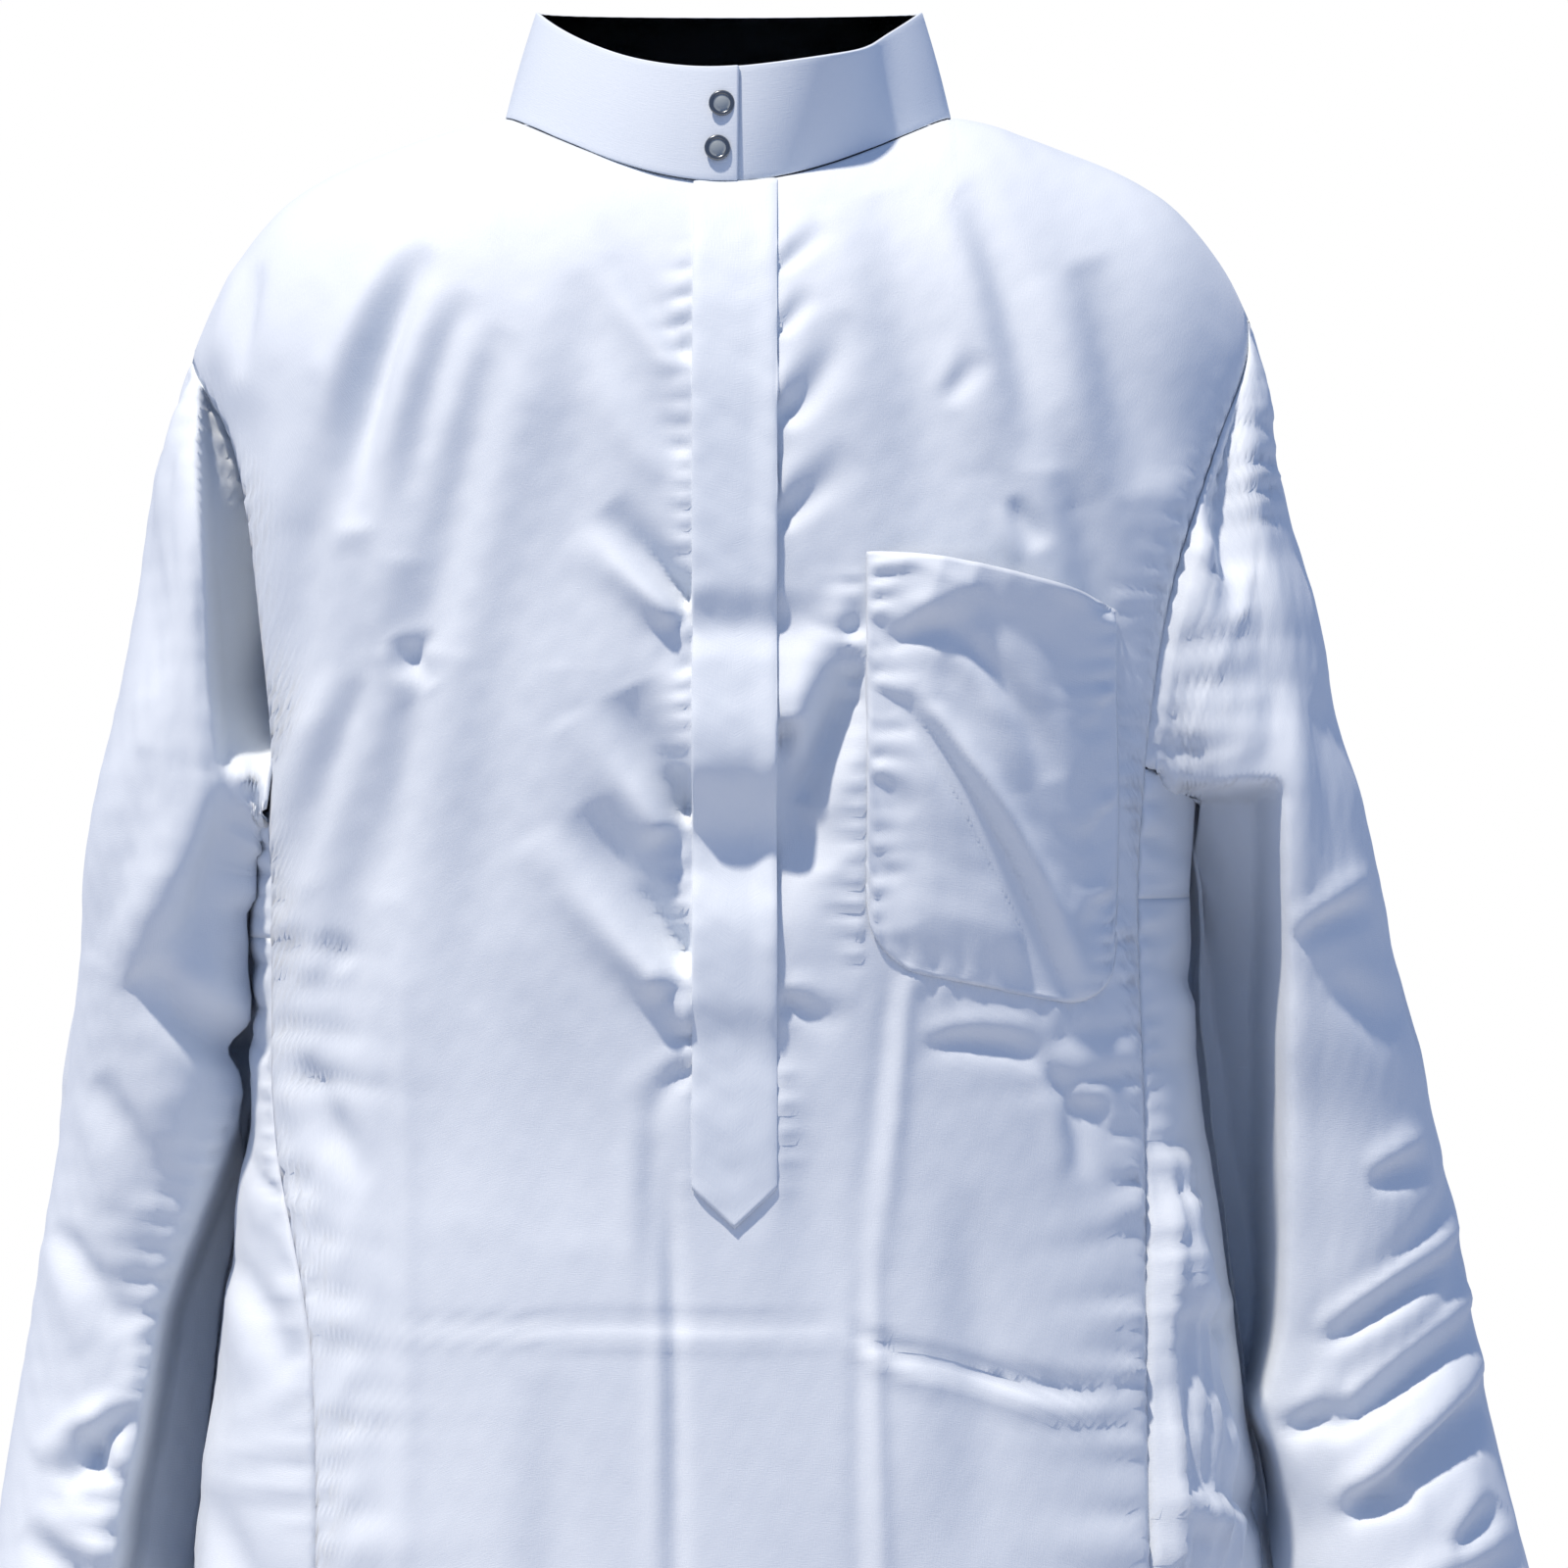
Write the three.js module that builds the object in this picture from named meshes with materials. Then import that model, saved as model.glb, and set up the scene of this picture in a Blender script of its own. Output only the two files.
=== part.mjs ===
// A man's ankle-length thobe robe, standing open as it does when it is worn, with nobody in it.
// Units are millimetres. +Z is up, the front faces -Y, and the wearer's left side is +X.
// The origin is at the height of the side neck points, midway between them and between front and back:
// the robe hangs from the wearer's neck and shoulders there.
// Each cut piece is a thin closed wall. Its outer face comes from one form: a shoulder line, a round of
// the shoulders, and oval sections down to the hem. Pieces that are sewn together stop SEAM apart.
import * as THREE from "three";

// ---- Driving dimensions -------------------------------------------------------------------------
const SEAM = 0.3; // gap between two cut pieces
const LAYER = 0.4; // gap between a piece and the one that it lies on
const CLOTH = 1.2; // wall of the body cloth
const STRIP = 1.5; // wall of the folded placket strip
const BAND = 2.0; // wall of the stiffened collar band
const SHOULDER = { left: 206, right: 215 }; // where each shoulder seam ends and the sleeve starts
const NECK = { wide: 88, front: 76, back: 70 }; // half sizes of the neck opening
const NECK_RISE = 30; // the nape stands this much above the side neck points' arc
const ROUND = 120; // drop over which the cloth turns from the shoulder line to hanging straight
const OVAL = 2.4; // exponent of the body's oval sections
const TURN_ROWS = 6; // rows of a panel over the round of the shoulder
// Heights of a panel's hanging rows at its side seam. The gusset fills the rows from UNDERARM.top.
const ROWS = [
  -203, -232, -262, -287, -312, -347, -388, -428, -482, -540, -600, -670, -750, -840, -940, -1050,
  -1165, -1280, -1400,
];
const UNDERARM = { top: 2, bottom: 4 };
const STEPS = { neck: 6, shoulder: 4, side: 5 }; // columns of half a neck, a shoulder and a gusset
const COLLAR = { lean: 12, sideTop: 43, frontTop: 13.5, backTop: 48, overlap: 22, end: 3.4 };
const PLACKET = { x: 3.2, half: 16.2, corner: -418, tip: -433, slitEnd: -361, slit: [8.6, 12], drop: 3 };
const BUTTON = { radius: 5, back: 4.2, rim: 0.9, well: 3.3, dome: 1.5 };
const BUTTONS = [{ x: -2, share: 0.33 }, { x: -3.6, share: 0.72 }];

// The shoulder line: height of the shoulder seam over each distance from the centre.
const SHOULDER_LINE = [
  { x: 0, z: 0 },
  { x: 88, z: 0 },
  { x: 131, z: -12 },
  { x: 170, z: -31 },
  { x: 195, z: -59 },
  { x: 208, z: -83 },
  { x: 222, z: -110 },
];

// The body's sections: half widths to the wearer's left and right, those of the front panel there, and the
// depth of front and back. The two sides hang a little differently.
const BODY = [
  { z: 60, sideL: 216, sideR: 222, seamL: 206, seamR: 215, front: 114, back: 106 },
  { z: -90, sideL: 215, sideR: 222, seamL: 206, seamR: 215, front: 112, back: 111 },
  { z: -130, sideL: 211, sideR: 213, seamL: 192, seamR: 195, front: 115, back: 114 },
  { z: -186, sideL: 199, sideR: 201, seamL: 173, seamR: 183, front: 119, back: 116 },
  { z: -245, sideL: 189, sideR: 194, seamL: 163, seamR: 178, front: 121, back: 114 },
  { z: -303, sideL: 183, sideR: 189, seamL: 159, seamR: 178, front: 119, back: 111 },
  { z: -400, sideL: 189, sideR: 190, seamL: 162, seamR: 176, front: 117, back: 108 },
  { z: -480, sideL: 200, sideR: 201, seamL: 162, seamR: 161, front: 120, back: 111 },
  { z: -576, sideL: 212, sideR: 212, seamL: 163, seamR: 158, front: 125, back: 117 },
  { z: -800, sideL: 238, sideR: 237, seamL: 166, seamR: 161, front: 138, back: 131 },
  { z: -1100, sideL: 268, sideR: 266, seamL: 172, seamR: 168, front: 152, back: 146 },
  { z: -1400, sideL: 294, sideR: 292, seamL: 179, seamR: 176, front: 165, back: 160 },
];

// The sleeves' sections: outer and inner edge of each sleeve, half depth front to back, how far each
// section lies behind the body's middle, and its tilt in degrees. The rows above UNDERARM only shape the cap.
const SLEEVE = [
  { z: -80, outL: 206, inL: 150, outR: 215, inR: 160, deep: 66, behindL: 0, behindR: 0, tilt: 0 },
  { z: -190, outL: 231, inL: 168, outR: 236, inR: 172, deep: 78, behindL: 0, behindR: 2, tilt: 0 },
  { z: -300, outL: 258, inL: 178, outR: 256, inR: 180, deep: 76, behindL: 4, behindR: 10, tilt: 0 },
  { z: -350, outL: 269, inL: 180, outR: 262, inR: 180, deep: 74, behindL: 12, behindR: 24, tilt: 3 },
  { z: -420, outL: 286, inL: 186, outR: 271, inR: 184, deep: 70, behindL: 18, behindR: 38, tilt: 6 },
  { z: -500, outL: 301, inL: 197, outR: 284, inR: 195, deep: 66, behindL: 14, behindR: 40, tilt: 8 },
  { z: -576, outL: 315, inL: 210, outR: 296, inR: 207, deep: 62, behindL: 4, behindR: 34, tilt: 9 },
  { z: -680, outL: 334, inL: 232, outR: 313, inR: 230, deep: 56, behindL: -14, behindR: 14, tilt: 9 },
];
const CAP_END = -300; // the sleeve's cap blends into its tube here
const CLEAR = 5; // gap between a sleeve and the side that it hangs against

// Flutes that open towards the hem: place round the body in degrees from the front centre, width, height.
const FLUTES = [
  { at: -158, wide: 13, out: 15 },
  { at: -128, wide: 10, out: -12 },
  { at: -102, wide: 12, out: 17 },
  { at: -74, wide: 10, out: -13 },
  { at: -52, wide: 9, out: 14 },
  { at: -31, wide: 9, out: -12 },
  { at: -9, wide: 10, out: 11 },
  { at: 16, wide: 9, out: -13 },
  { at: 39, wide: 10, out: 15 },
  { at: 63, wide: 9, out: -12 },
  { at: 86, wide: 12, out: 18 },
  { at: 114, wide: 10, out: -13 },
  { at: 140, wide: 12, out: 14 },
  { at: 168, wide: 10, out: -11 },
];
const SLEEVE_END = -680;
const FLUTE_FROM = -480; // the flutes start here and are full at the hem

// The largest folds of the front: a line from x0, z0 to x1, z1, its width and its height.
const FRONT_FOLDS = [
  { x0: -112, z0: -52, x1: -142, z1: -190, wide: 11, out: -7 },
  { x0: -88, z0: -60, x1: -112, z1: -330, wide: 15, out: 5 },
  { x0: -60, z0: -70, x1: -18, z1: -150, wide: 9, out: -5 },
  { x0: 104, z0: -40, x1: 118, z1: -170, wide: 13, out: -5 },
  { x0: 60, z0: -170, x1: 22, z1: -240, wide: 9, out: -5 },
  { x0: -58, z0: -276, x1: -30, z1: -322, wide: 8, out: -6 },
  { x0: -120, z0: -330, x1: -118, z1: -640, wide: 16, out: 5 },
  { x0: 70, z0: -350, x1: 66, z1: -640, wide: 14, out: 5 },
];
const POCKET_PUFF = { x: 98, z: -250, wide: 44, high: 80, out: 7 };

// The largest folds of each sleeve: height, place round the sleeve in degrees from its outer edge (90 is the
// front), fall of the fold across the sleeve, half height, half spread in degrees, and how far it stands out.
const SLEEVE_FOLDS = {
  left: [
    { z: -160, at: 84, fall: 0, high: 66, spread: 24, out: -17 },
    { z: -450, at: 60, fall: 26, high: 9, spread: 46, out: -7 },
    { z: -485, at: 66, fall: 26, high: 9, spread: 48, out: -8 },
    { z: -525, at: 58, fall: 24, high: 10, spread: 50, out: -8 },
    { z: -420, at: 250, fall: -20, high: 14, spread: 44, out: -7 },
  ],
  right: [
    { z: -160, at: 96, fall: 0, high: 70, spread: 26, out: -19 },
    { z: -150, at: 4, fall: 0, high: 40, spread: 40, out: 3 },
    { z: -395, at: 98, fall: 0, high: 28, spread: 26, out: 8 },
    { z: -470, at: 100, fall: 0, high: 24, spread: 26, out: -8 },
    { z: -450, at: 250, fall: -20, high: 14, spread: 44, out: -7 },
  ],
};

// The chest pocket on the wearer's left breast.
const POCKET = { left: 53, right: 149, top: -176, topRight: -197, bottom: -332, bottomRight: -352, round: 22 };

// ---- Curves and tables --------------------------------------------------------------------------
const HEM = ROWS[ROWS.length - 1];
const clamp01 = (t) => Math.min(1, Math.max(0, t));
const lerp = THREE.MathUtils.lerp;
const smooth = THREE.MathUtils.smoothstep;
const bell = (t) => Math.exp(-t * t);

// A smooth reading of one column of a table, by its key column, which runs up or down.
function read(table, key, at, column) {
  const way = Math.sign(table[table.length - 1][key] - table[0][key]);
  const last = table.length - 2;
  const next = table.findIndex((row) => (row[key] - at) * way > 0);
  const i = next < 0 ? last : Math.min(last, Math.max(0, next - 1));
  const [p, q] = [table[i], table[i + 1]];
  const [o, r] = [table[Math.max(0, i - 1)], table[Math.min(table.length - 1, i + 2)]];
  const span = q[key] - p[key];
  const slopeP = ((q[column] - o[column]) / (q[key] - o[key])) * span;
  const slopeQ = ((r[column] - p[column]) / (r[key] - p[key])) * span;
  const t = clamp01((at - p[key]) / span);
  const [t2, t3] = [t * t, t * t * t];
  return (
    (2 * t3 - 3 * t2 + 1) * p[column] +
    (t3 - 2 * t2 + t) * slopeP +
    (3 * t2 - 2 * t3) * q[column] +
    (t3 - t2) * slopeQ
  );
}
const body = (z, column) => read(BODY, "z", z, column);
const halfWidth = (name, hand, z) => body(z, name + (hand < 0 ? "R" : "L"));
const depth = (way, z) => body(z, way < 0 ? "front" : "back");
const shoulderX = (hand) => (hand < 0 ? SHOULDER.right : SHOULDER.left);
const shoulderZ = (x) => read(SHOULDER_LINE, "x", Math.abs(x), "z");

// How far the flutes and the front's folds move the cloth out at a point of the body.
function bodyFold(x, y, z) {
  const [side, deep] = [halfWidth("side", x, z), depth(y, z)];
  const round = THREE.MathUtils.radToDeg(Math.atan2(x / side, -y / deep));
  const open = smooth(-z, -FLUTE_FROM, -HEM);
  let out = 0;
  for (const flute of FLUTES) {
    const away = ((round - flute.at + 540) % 360) - 180;
    out += open * flute.out * bell(away / flute.wide);
  }
  if (y >= 0) return out;
  for (const fold of FRONT_FOLDS) {
    const [dx, dz] = [fold.x1 - fold.x0, fold.z1 - fold.z0];
    const along = ((x - fold.x0) * dx + (z - fold.z0) * dz) / (dx * dx + dz * dz);
    const near = clamp01(along);
    const away = Math.hypot(x - fold.x0 - near * dx, z - fold.z0 - near * dz);
    out += fold.out * bell(away / fold.wide) * Math.sin(Math.PI * lerp(0.15, 0.85, near));
  }
  const puff = POCKET_PUFF;
  return out + puff.out * bell((x - puff.x) / puff.wide) * bell((z - puff.z) / puff.high);
}

// ---- The body's form ----------------------------------------------------------------------------
// A point of the front (way -1) or back (way 1): `across` is 0 at the centre and 1 at the piece's side seam,
// `turn` is the angle over the shoulder, 0 at the shoulder seam and a right angle once the cloth hangs.
function bodyPoint(way, across, z, turn) {
  const x = across * halfWidth("seam", across, z);
  const [side, deep] = [halfWidth("side", across, z), depth(way, z)];
  const oval = (1 - Math.abs(x / side) ** OVAL) ** (1 / OVAL);
  const y = way * deep * oval * Math.sin(turn);
  const flat = Math.hypot(x / (side * side), y / (deep * deep));
  const out = bodyFold(x, y, z) * Math.sin(turn);
  return new THREE.Vector3(
    x + (out * x) / (side * side * flat),
    y + (out * y) / (deep * deep * flat),
    z,
  );
}

// The top of the round over a column of the cloth: the shoulder line, or the nape's arc at the back.
function topOf(way, across) {
  const x = across * shoulderX(across);
  const nape = way > 0 ? NECK_RISE * Math.max(0, 1 - (x / NECK.wide) ** 2) : 0;
  return shoulderZ(x) + nape;
}

// The turn at which a column starts: at the shoulder seam, or where the neck opening cuts it.
function startTurn(way, across) {
  const x = across * shoulderX(across);
  if (Math.abs(x) >= NECK.wide - 1e-6) return 0;
  const reach = (way < 0 ? NECK.front : NECK.back) * Math.sqrt(1 - (x / NECK.wide) ** 2);
  const z = topOf(way, across) - 20;
  const oval = (1 - Math.abs(x / halfWidth("side", x, z)) ** OVAL) ** (1 / OVAL);
  return Math.asin(Math.min(1, reach / (depth(way, z) * oval)));
}

// Reads a list at a place between its entries, and finds such a place for a value of a rising list.
function pick(list, place) {
  const i = Math.min(list.length - 2, Math.max(0, Math.floor(place)));
  return lerp(list[i], list[i + 1], place - i);
}
function find(list, value) {
  const next = list.findIndex((entry) => entry > value);
  const i = Math.min(list.length - 2, Math.max(0, (next < 0 ? list.length : next) - 1));
  return i + (value - list[i]) / (list[i + 1] - list[i]);
}
const ROW_SHARES = ROWS.map((z) => (z - ROWS[0]) / (HEM - ROWS[0]));
const LAST_ROW = TURN_ROWS + ROWS.length - 1;

// A point of a panel at a row: over the shoulder by its angle, then down to the hem.
function panelPoint(way, across, row) {
  const top = topOf(way, across);
  if (row < TURN_ROWS) {
    const turn = lerp(Math.max(0.0013, startTurn(way, across)), Math.PI / 2, row / TURN_ROWS);
    return bodyPoint(way, across, top - ROUND * (1 - Math.cos(turn)), turn);
  }
  const z = lerp(top - ROUND, HEM, pick(ROW_SHARES, row - TURN_ROWS));
  return bodyPoint(way, across, z, Math.PI / 2);
}

// A point of the side, from the front seam (share 0) round to the back seam (share 1).
function sidePoint(hand, share, z) {
  const side = halfWidth("side", hand, z);
  const start = Math.acos((halfWidth("seam", hand, z) / side) ** (OVAL / 2));
  const angle = lerp(-start, start, share);
  const deep = depth(angle, z);
  const x = side * Math.cos(angle) ** (2 / OVAL);
  const y = Math.sign(angle) * deep * Math.abs(Math.sin(angle)) ** (2 / OVAL);
  const flat = Math.hypot(x / (side * side), y / (deep * deep)) || 1;
  const out = bodyFold(hand * x, y, z);
  return new THREE.Vector3(
    hand * (x + (out * x) / (side * side * flat)),
    y + (out * y) / (deep * deep * flat),
    z,
  );
}

// ---- Walls --------------------------------------------------------------------------------------
// The outward direction of a surface point(i, j), by small steps along its rows and columns.
function normalOf(point, i, j, columns, rows, ring) {
  const step = 0.02;
  const [i0, i1] = ring ? [i - step, i + step] : [Math.max(0, i - step), Math.min(columns, i + step)];
  const across = point(i1, j).sub(point(i0, j));
  const down = point(i, Math.min(rows, j + step)).sub(point(i, Math.max(0, j - step)));
  return down.cross(across).normalize();
}

// Makes a closed wall from a grid of outer points. It has `thick` behind the outer face, and cells for which
// `open(column, row)` is true are left out. `ring` joins the last column to the first.
function wall({ columns, rows, point, thick, ring = false, open = () => false }) {
  const corners = [];
  const slot = new Map();
  const corner = (i, j, inner) => {
    const column = ring ? i % columns : i;
    const name = `${column},${j},${inner}`;
    if (!slot.has(name)) {
      slot.set(name, corners.length / 3);
      const p = point(column, j);
      if (inner) p.addScaledVector(normalOf(point, column, j, columns, rows, ring), -thick);
      corners.push(p.x, p.y, p.z);
    }
    return slot.get(name);
  };
  const faces = [];
  const quad = (a, b, c, d) => faces.push(a, b, c, a, c, d);
  const used = (i, j) => {
    const column = ring ? (i + columns) % columns : i;
    return column >= 0 && column < columns && j >= 0 && j < rows && !open(column, j);
  };
  for (let j = 0; j < rows; j++) {
    for (let i = 0; i < columns; i++) {
      if (!used(i, j)) continue;
      const [a, b, c, d] = [[i, j], [i, j + 1], [i + 1, j + 1], [i + 1, j]];
      quad(corner(...a, 0), corner(...b, 0), corner(...c, 0), corner(...d, 0));
      quad(corner(...a, 1), corner(...d, 1), corner(...c, 1), corner(...b, 1));
      const rim = (p, q) => quad(corner(...q, 0), corner(...p, 0), corner(...p, 1), corner(...q, 1));
      if (!used(i - 1, j)) rim(a, b);
      if (!used(i, j + 1)) rim(b, c);
      if (!used(i + 1, j)) rim(c, d);
      if (!used(i, j - 1)) rim(d, a);
    }
  }
  const geometry = new THREE.BufferGeometry();
  geometry.setAttribute("position", new THREE.Float32BufferAttribute(corners, 3));
  geometry.setIndex(faces);
  geometry.computeVertexNormals();
  return geometry;
}

// ---- The cut pieces -----------------------------------------------------------------------------
// Columns of a front or back panel, as shares of its half width at the shoulder.
function columnShares(extra = []) {
  const places = [...extra];
  for (let k = -STEPS.neck; k <= STEPS.neck; k++) {
    places.push(NECK.wide * Math.sin((k / STEPS.neck) * (Math.PI / 2)));
  }
  for (let k = 1; k <= STEPS.shoulder; k++) {
    places.push(lerp(NECK.wide, SHOULDER.left, k / STEPS.shoulder));
    places.push(-lerp(NECK.wide, SHOULDER.right, k / STEPS.shoulder));
  }
  return places.map((x) => x / shoulderX(x)).sort((a, b) => a - b);
}
const FRONT_COLUMNS = columnShares(PLACKET.slit);
const BACK_COLUMNS = columnShares();
const inset = (share) => share * (1 - SEAM / 2 / SHOULDER.left);

function panel(way, shares, open) {
  const last = shares.length - 1;
  const point = (i, j) => panelPoint(way, inset(pick(shares, way < 0 ? i : last - i)), j);
  return wall({ columns: last, rows: LAST_ROW, point, thick: CLOTH, open });
}

// The front is slit from the neck down, beside its centre, under the placket strip.
function frontPanel() {
  const gap = FRONT_COLUMNS.indexOf(PLACKET.slit[0] / SHOULDER.left);
  const end = Math.round(find(ROW_SHARES, (PLACKET.slitEnd + ROUND) / (HEM + ROUND)));
  return panel(-1, FRONT_COLUMNS, (i, j) => i === gap && j < TURN_ROWS + end);
}

// The height of a hanging row, counted from the first of ROWS, at a side seam.
function edgeZ(hand, row) {
  return lerp(topOf(1, hand) - ROUND, HEM, pick(ROW_SHARES, row));
}

// A gusset or a side gore: the rows from one of ROWS to another, from the front seam to the back seam.
function sideStrip(hand, from, to) {
  const columns = STEPS.side;
  const edge = SEAM / 2 / 150;
  const point = (i, j) => {
    const z = edgeZ(hand, from + j) - (SEAM / 2) * (1 - (2 * j) / (to - from));
    const share = lerp(edge, 1 - edge, i / columns);
    return sidePoint(hand, hand > 0 ? share : 1 - share, z);
  };
  return wall({ columns, rows: to - from, point, thick: CLOTH });
}

// The armhole's line by steps: down the front edge, under the arm along the gusset, and up the back edge.
const ARM_STEPS = TURN_ROWS + UNDERARM.top;
const SLEEVE_COLUMNS = 2 * ARM_STEPS + STEPS.side;
function armhole(hand, step) {
  if (step <= ARM_STEPS) return panelPoint(-1, hand, step);
  if (step >= ARM_STEPS + STEPS.side) return panelPoint(1, hand, SLEEVE_COLUMNS - step);
  return sidePoint(hand, (step - ARM_STEPS) / STEPS.side, edgeZ(hand, UNDERARM.top));
}

// The sleeve's section at a height below the underarm.
function sleeveRing(hand, share, z) {
  const side = hand > 0 ? "L" : "R";
  const column = (name) => read(SLEEVE, "z", z, name);
  const [out, inner] = [column("out" + side), column("in" + side)];
  const turn = share * 2 * Math.PI;
  const middle = (out + inner) / 2;
  const oval = middle + ((out - inner) / 2) * Math.cos(turn);
  const y = column("behind" + side) - column("deep") * Math.sin(turn);
  const fall = Math.tan(THREE.MathUtils.degToRad(column("tilt")));
  const height = z + (oval - middle) * fall;
  return new THREE.Vector3(hand * oval, y, height);
}

// How far out the body's side reaches at a place from front to back.
function flank(hand, y, z) {
  const beside = Math.max(0, 1 - Math.abs(y / depth(y, z)) ** OVAL);
  return halfWidth("side", hand, z) * beside ** (1 / OVAL);
}

const [CAP_ROWS, ARM_ROWS] = [6, 11];
function sleeve(hand) {
  const folds = SLEEVE_FOLDS[hand > 0 ? "left" : "right"];
  const columns = SLEEVE_COLUMNS;
  const stepAt = (i) => ((hand > 0 ? columns - i : i) + columns) % columns;
  const point = (i, j) => {
    const step = stepAt(i);
    const share = step / columns;
    const cap = Math.min(1, j / CAP_ROWS);
    const start = armhole(hand, step);
    const end = sleeveRing(hand, share, CAP_END);
    const under = step >= ARM_STEPS && step <= ARM_STEPS + STEPS.side;
    const off = under ? new THREE.Vector3(hand, 0, 0) : end.clone().sub(start).normalize();
    const fall = lerp(CAP_END, SLEEVE_END, Math.max(0, (j - CAP_ROWS) / ARM_ROWS));
    const tube = sleeveRing(hand, share, cap < 1 ? lerp(start.z, CAP_END, cap) : fall);
    const p = start.lerp(tube, 1 - (1 - cap) ** 2).addScaledVector(off, 3 * SEAM * (1 - cap));
    if (p.z < armhole(hand, ARM_STEPS).z + 1) {
      const reach = flank(hand, p.y, p.z) + lerp(3 * SEAM, CLEAR, cap);
      p.x = hand * Math.max(hand * p.x, reach);
    }
    const away = p.clone().sub(new THREE.Vector3(hand * 222, 0, p.z)).normalize();
    for (const fold of folds) {
      const along = (share * 360 - fold.at) / fold.spread;
      const up = (p.z - fold.z + fold.fall * along) / fold.high;
      p.addScaledVector(away, fold.out * bell(up) * bell(along) * smooth(cap, 0, 0.4));
    }
    return p;
  };
  return wall({ columns, rows: CAP_ROWS + ARM_ROWS, point, thick: CLOTH, ring: true });
}

// The neck seam at an angle round the neck, 0 at the front centre and turning to the wearer's left. It runs
// straight from column to column of the panels.
function neckSeam(angle) {
  const step = Math.PI / 2 / STEPS.neck;
  const corner = (k) => {
    const [x, way] = [NECK.wide * Math.sin(k * step), Math.cos(k * step) > 1e-6 ? -1 : 1];
    return panelPoint(way, x / shoulderX(x), 0);
  };
  const k = Math.floor(angle / step);
  return corner(k).lerp(corner(k + 1), angle / step - k);
}

// A point of the collar: `angle` round the neck, `up` from the neck seam to the top edge, `out` from the band.
function collarPoint(angle, up, out) {
  const base = neckSeam(angle);
  const front = Math.cos(angle);
  const top = front > 0
    ? lerp(COLLAR.sideTop, COLLAR.frontTop, front ** 1.6)
    : lerp(COLLAR.sideTop, COLLAR.backTop, -front);
  const away = new THREE.Vector3(base.x, base.y, 0).normalize();
  const p = base.clone().addScaledVector(away, out - COLLAR.lean * up);
  p.z = lerp(base.z + 2 * SEAM, top, up);
  return p;
}

// The band runs round the neck once and a little more: its end lies over its start at the front.
function collarBand() {
  const [columns, rows] = [44, 2];
  const start = -COLLAR.overlap / NECK.front;
  const end = 2 * Math.PI + COLLAR.end / NECK.front;
  const point = (i, j) => {
    const angle = lerp(start, end, i / columns);
    const over = smooth(angle, 2 * Math.PI - 0.75, 2 * Math.PI - 0.32);
    return collarPoint(angle, 1 - j / rows, over * (BAND + LAYER));
  };
  return wall({ columns, rows, point, thick: BAND });
}

// A point of the front panel's flat faces under a given x and z, moved out from them.
function onFront(x, z, out) {
  const across = x / halfWidth("seam", x, z);
  const [i, top] = [find(FRONT_COLUMNS, across), topOf(-1, across)];
  let j = TURN_ROWS + find(ROW_SHARES, (z - top + ROUND) / (HEM - top + ROUND));
  if (z > top - ROUND) {
    const first = startTurn(-1, across);
    j = (TURN_ROWS * (Math.acos(1 - (top - z) / ROUND) - first)) / (Math.PI / 2 - first);
  }
  const point = (u, v) => panelPoint(-1, pick(FRONT_COLUMNS, u), v);
  const [i0, j0] = [Math.floor(i), Math.max(0, Math.floor(j))];
  const upper = point(i0, j0).lerp(point(i0 + 1, j0), i - i0);
  const lower = point(i0, j0 + 1).lerp(point(i0 + 1, j0 + 1), i - i0);
  const normal = normalOf(point, i, Math.max(0, j), FRONT_COLUMNS.length - 1, LAST_ROW, false);
  return upper.lerp(lower, j - j0).addScaledVector(normal, out);
}

// Heights of the front panel's rows along its middle, from the neck seam down to a given height.
function middleRows(x, bottom) {
  const heights = [];
  for (let j = 0; j <= LAST_ROW; j++) heights.push(panelPoint(-1, x / shoulderX(x), j).z);
  return heights.filter((z) => z > bottom);
}

function placketStrip() {
  const { x, half, corner, tip, slitEnd } = PLACKET;
  const columns = [x - half, 0, ...PLACKET.slit, x + half];
  const ends = [0.5, 1];
  const above = middleRows(x, slitEnd - 8).length;
  const point = (i, j) => {
    const at = pick(columns, i);
    const rows = middleRows(at, slitEnd - 8);
    const low = lerp(tip, corner, Math.abs(at - x) / half);
    ends.forEach((share) => rows.push(lerp(rows[above - 1], low, share)));
    return onFront(at, pick(rows, j) - (j < 1 ? (1 - j) * PLACKET.drop : 0), LAYER + STRIP);
  };
  return wall({ columns: columns.length - 1, rows: above + 1, point, thick: STRIP });
}

function placketUnderlap() {
  const columns = [PLACKET.x - PLACKET.half + 5, 0, ...PLACKET.slit, PLACKET.x + PLACKET.half + 3];
  const count = middleRows(0, PLACKET.slitEnd - 34).length;
  const point = (i, j) => {
    const at = pick(columns, i);
    const z = pick(middleRows(at, PLACKET.slitEnd - 34), j);
    return onFront(at, z - (j < 1 ? (1 - j) * 5 : 0), -CLOTH - 4 * LAYER);
  };
  return wall({ columns: columns.length - 1, rows: count - 1, point, thick: CLOTH });
}

// The pocket: a slanted top edge, and lower corners that are rounded.
function chestPocket() {
  const [columns, rows] = [8, 10];
  const { left, right, top, topRight, bottom, bottomRight, round } = POCKET;
  const point = (i, j) => {
    const [s, t] = [i / columns, j / rows];
    const x = lerp(left, right, s);
    const edge = Math.min(x - left, right - x, round);
    const corner = round - Math.sqrt(Math.max(0, round * round - (round - edge) ** 2));
    const low = lerp(bottom, bottomRight, s) + corner;
    const z = lerp(lerp(top, topRight, s ** 1.6), low, t);
    const gape = 7 * Math.sin(Math.PI * s) * (1 - t) ** 2;
    return onFront(x, z, 3 * LAYER + CLOTH + gape);
  };
  return wall({ columns, rows, point, thick: CLOTH });
}

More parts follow.
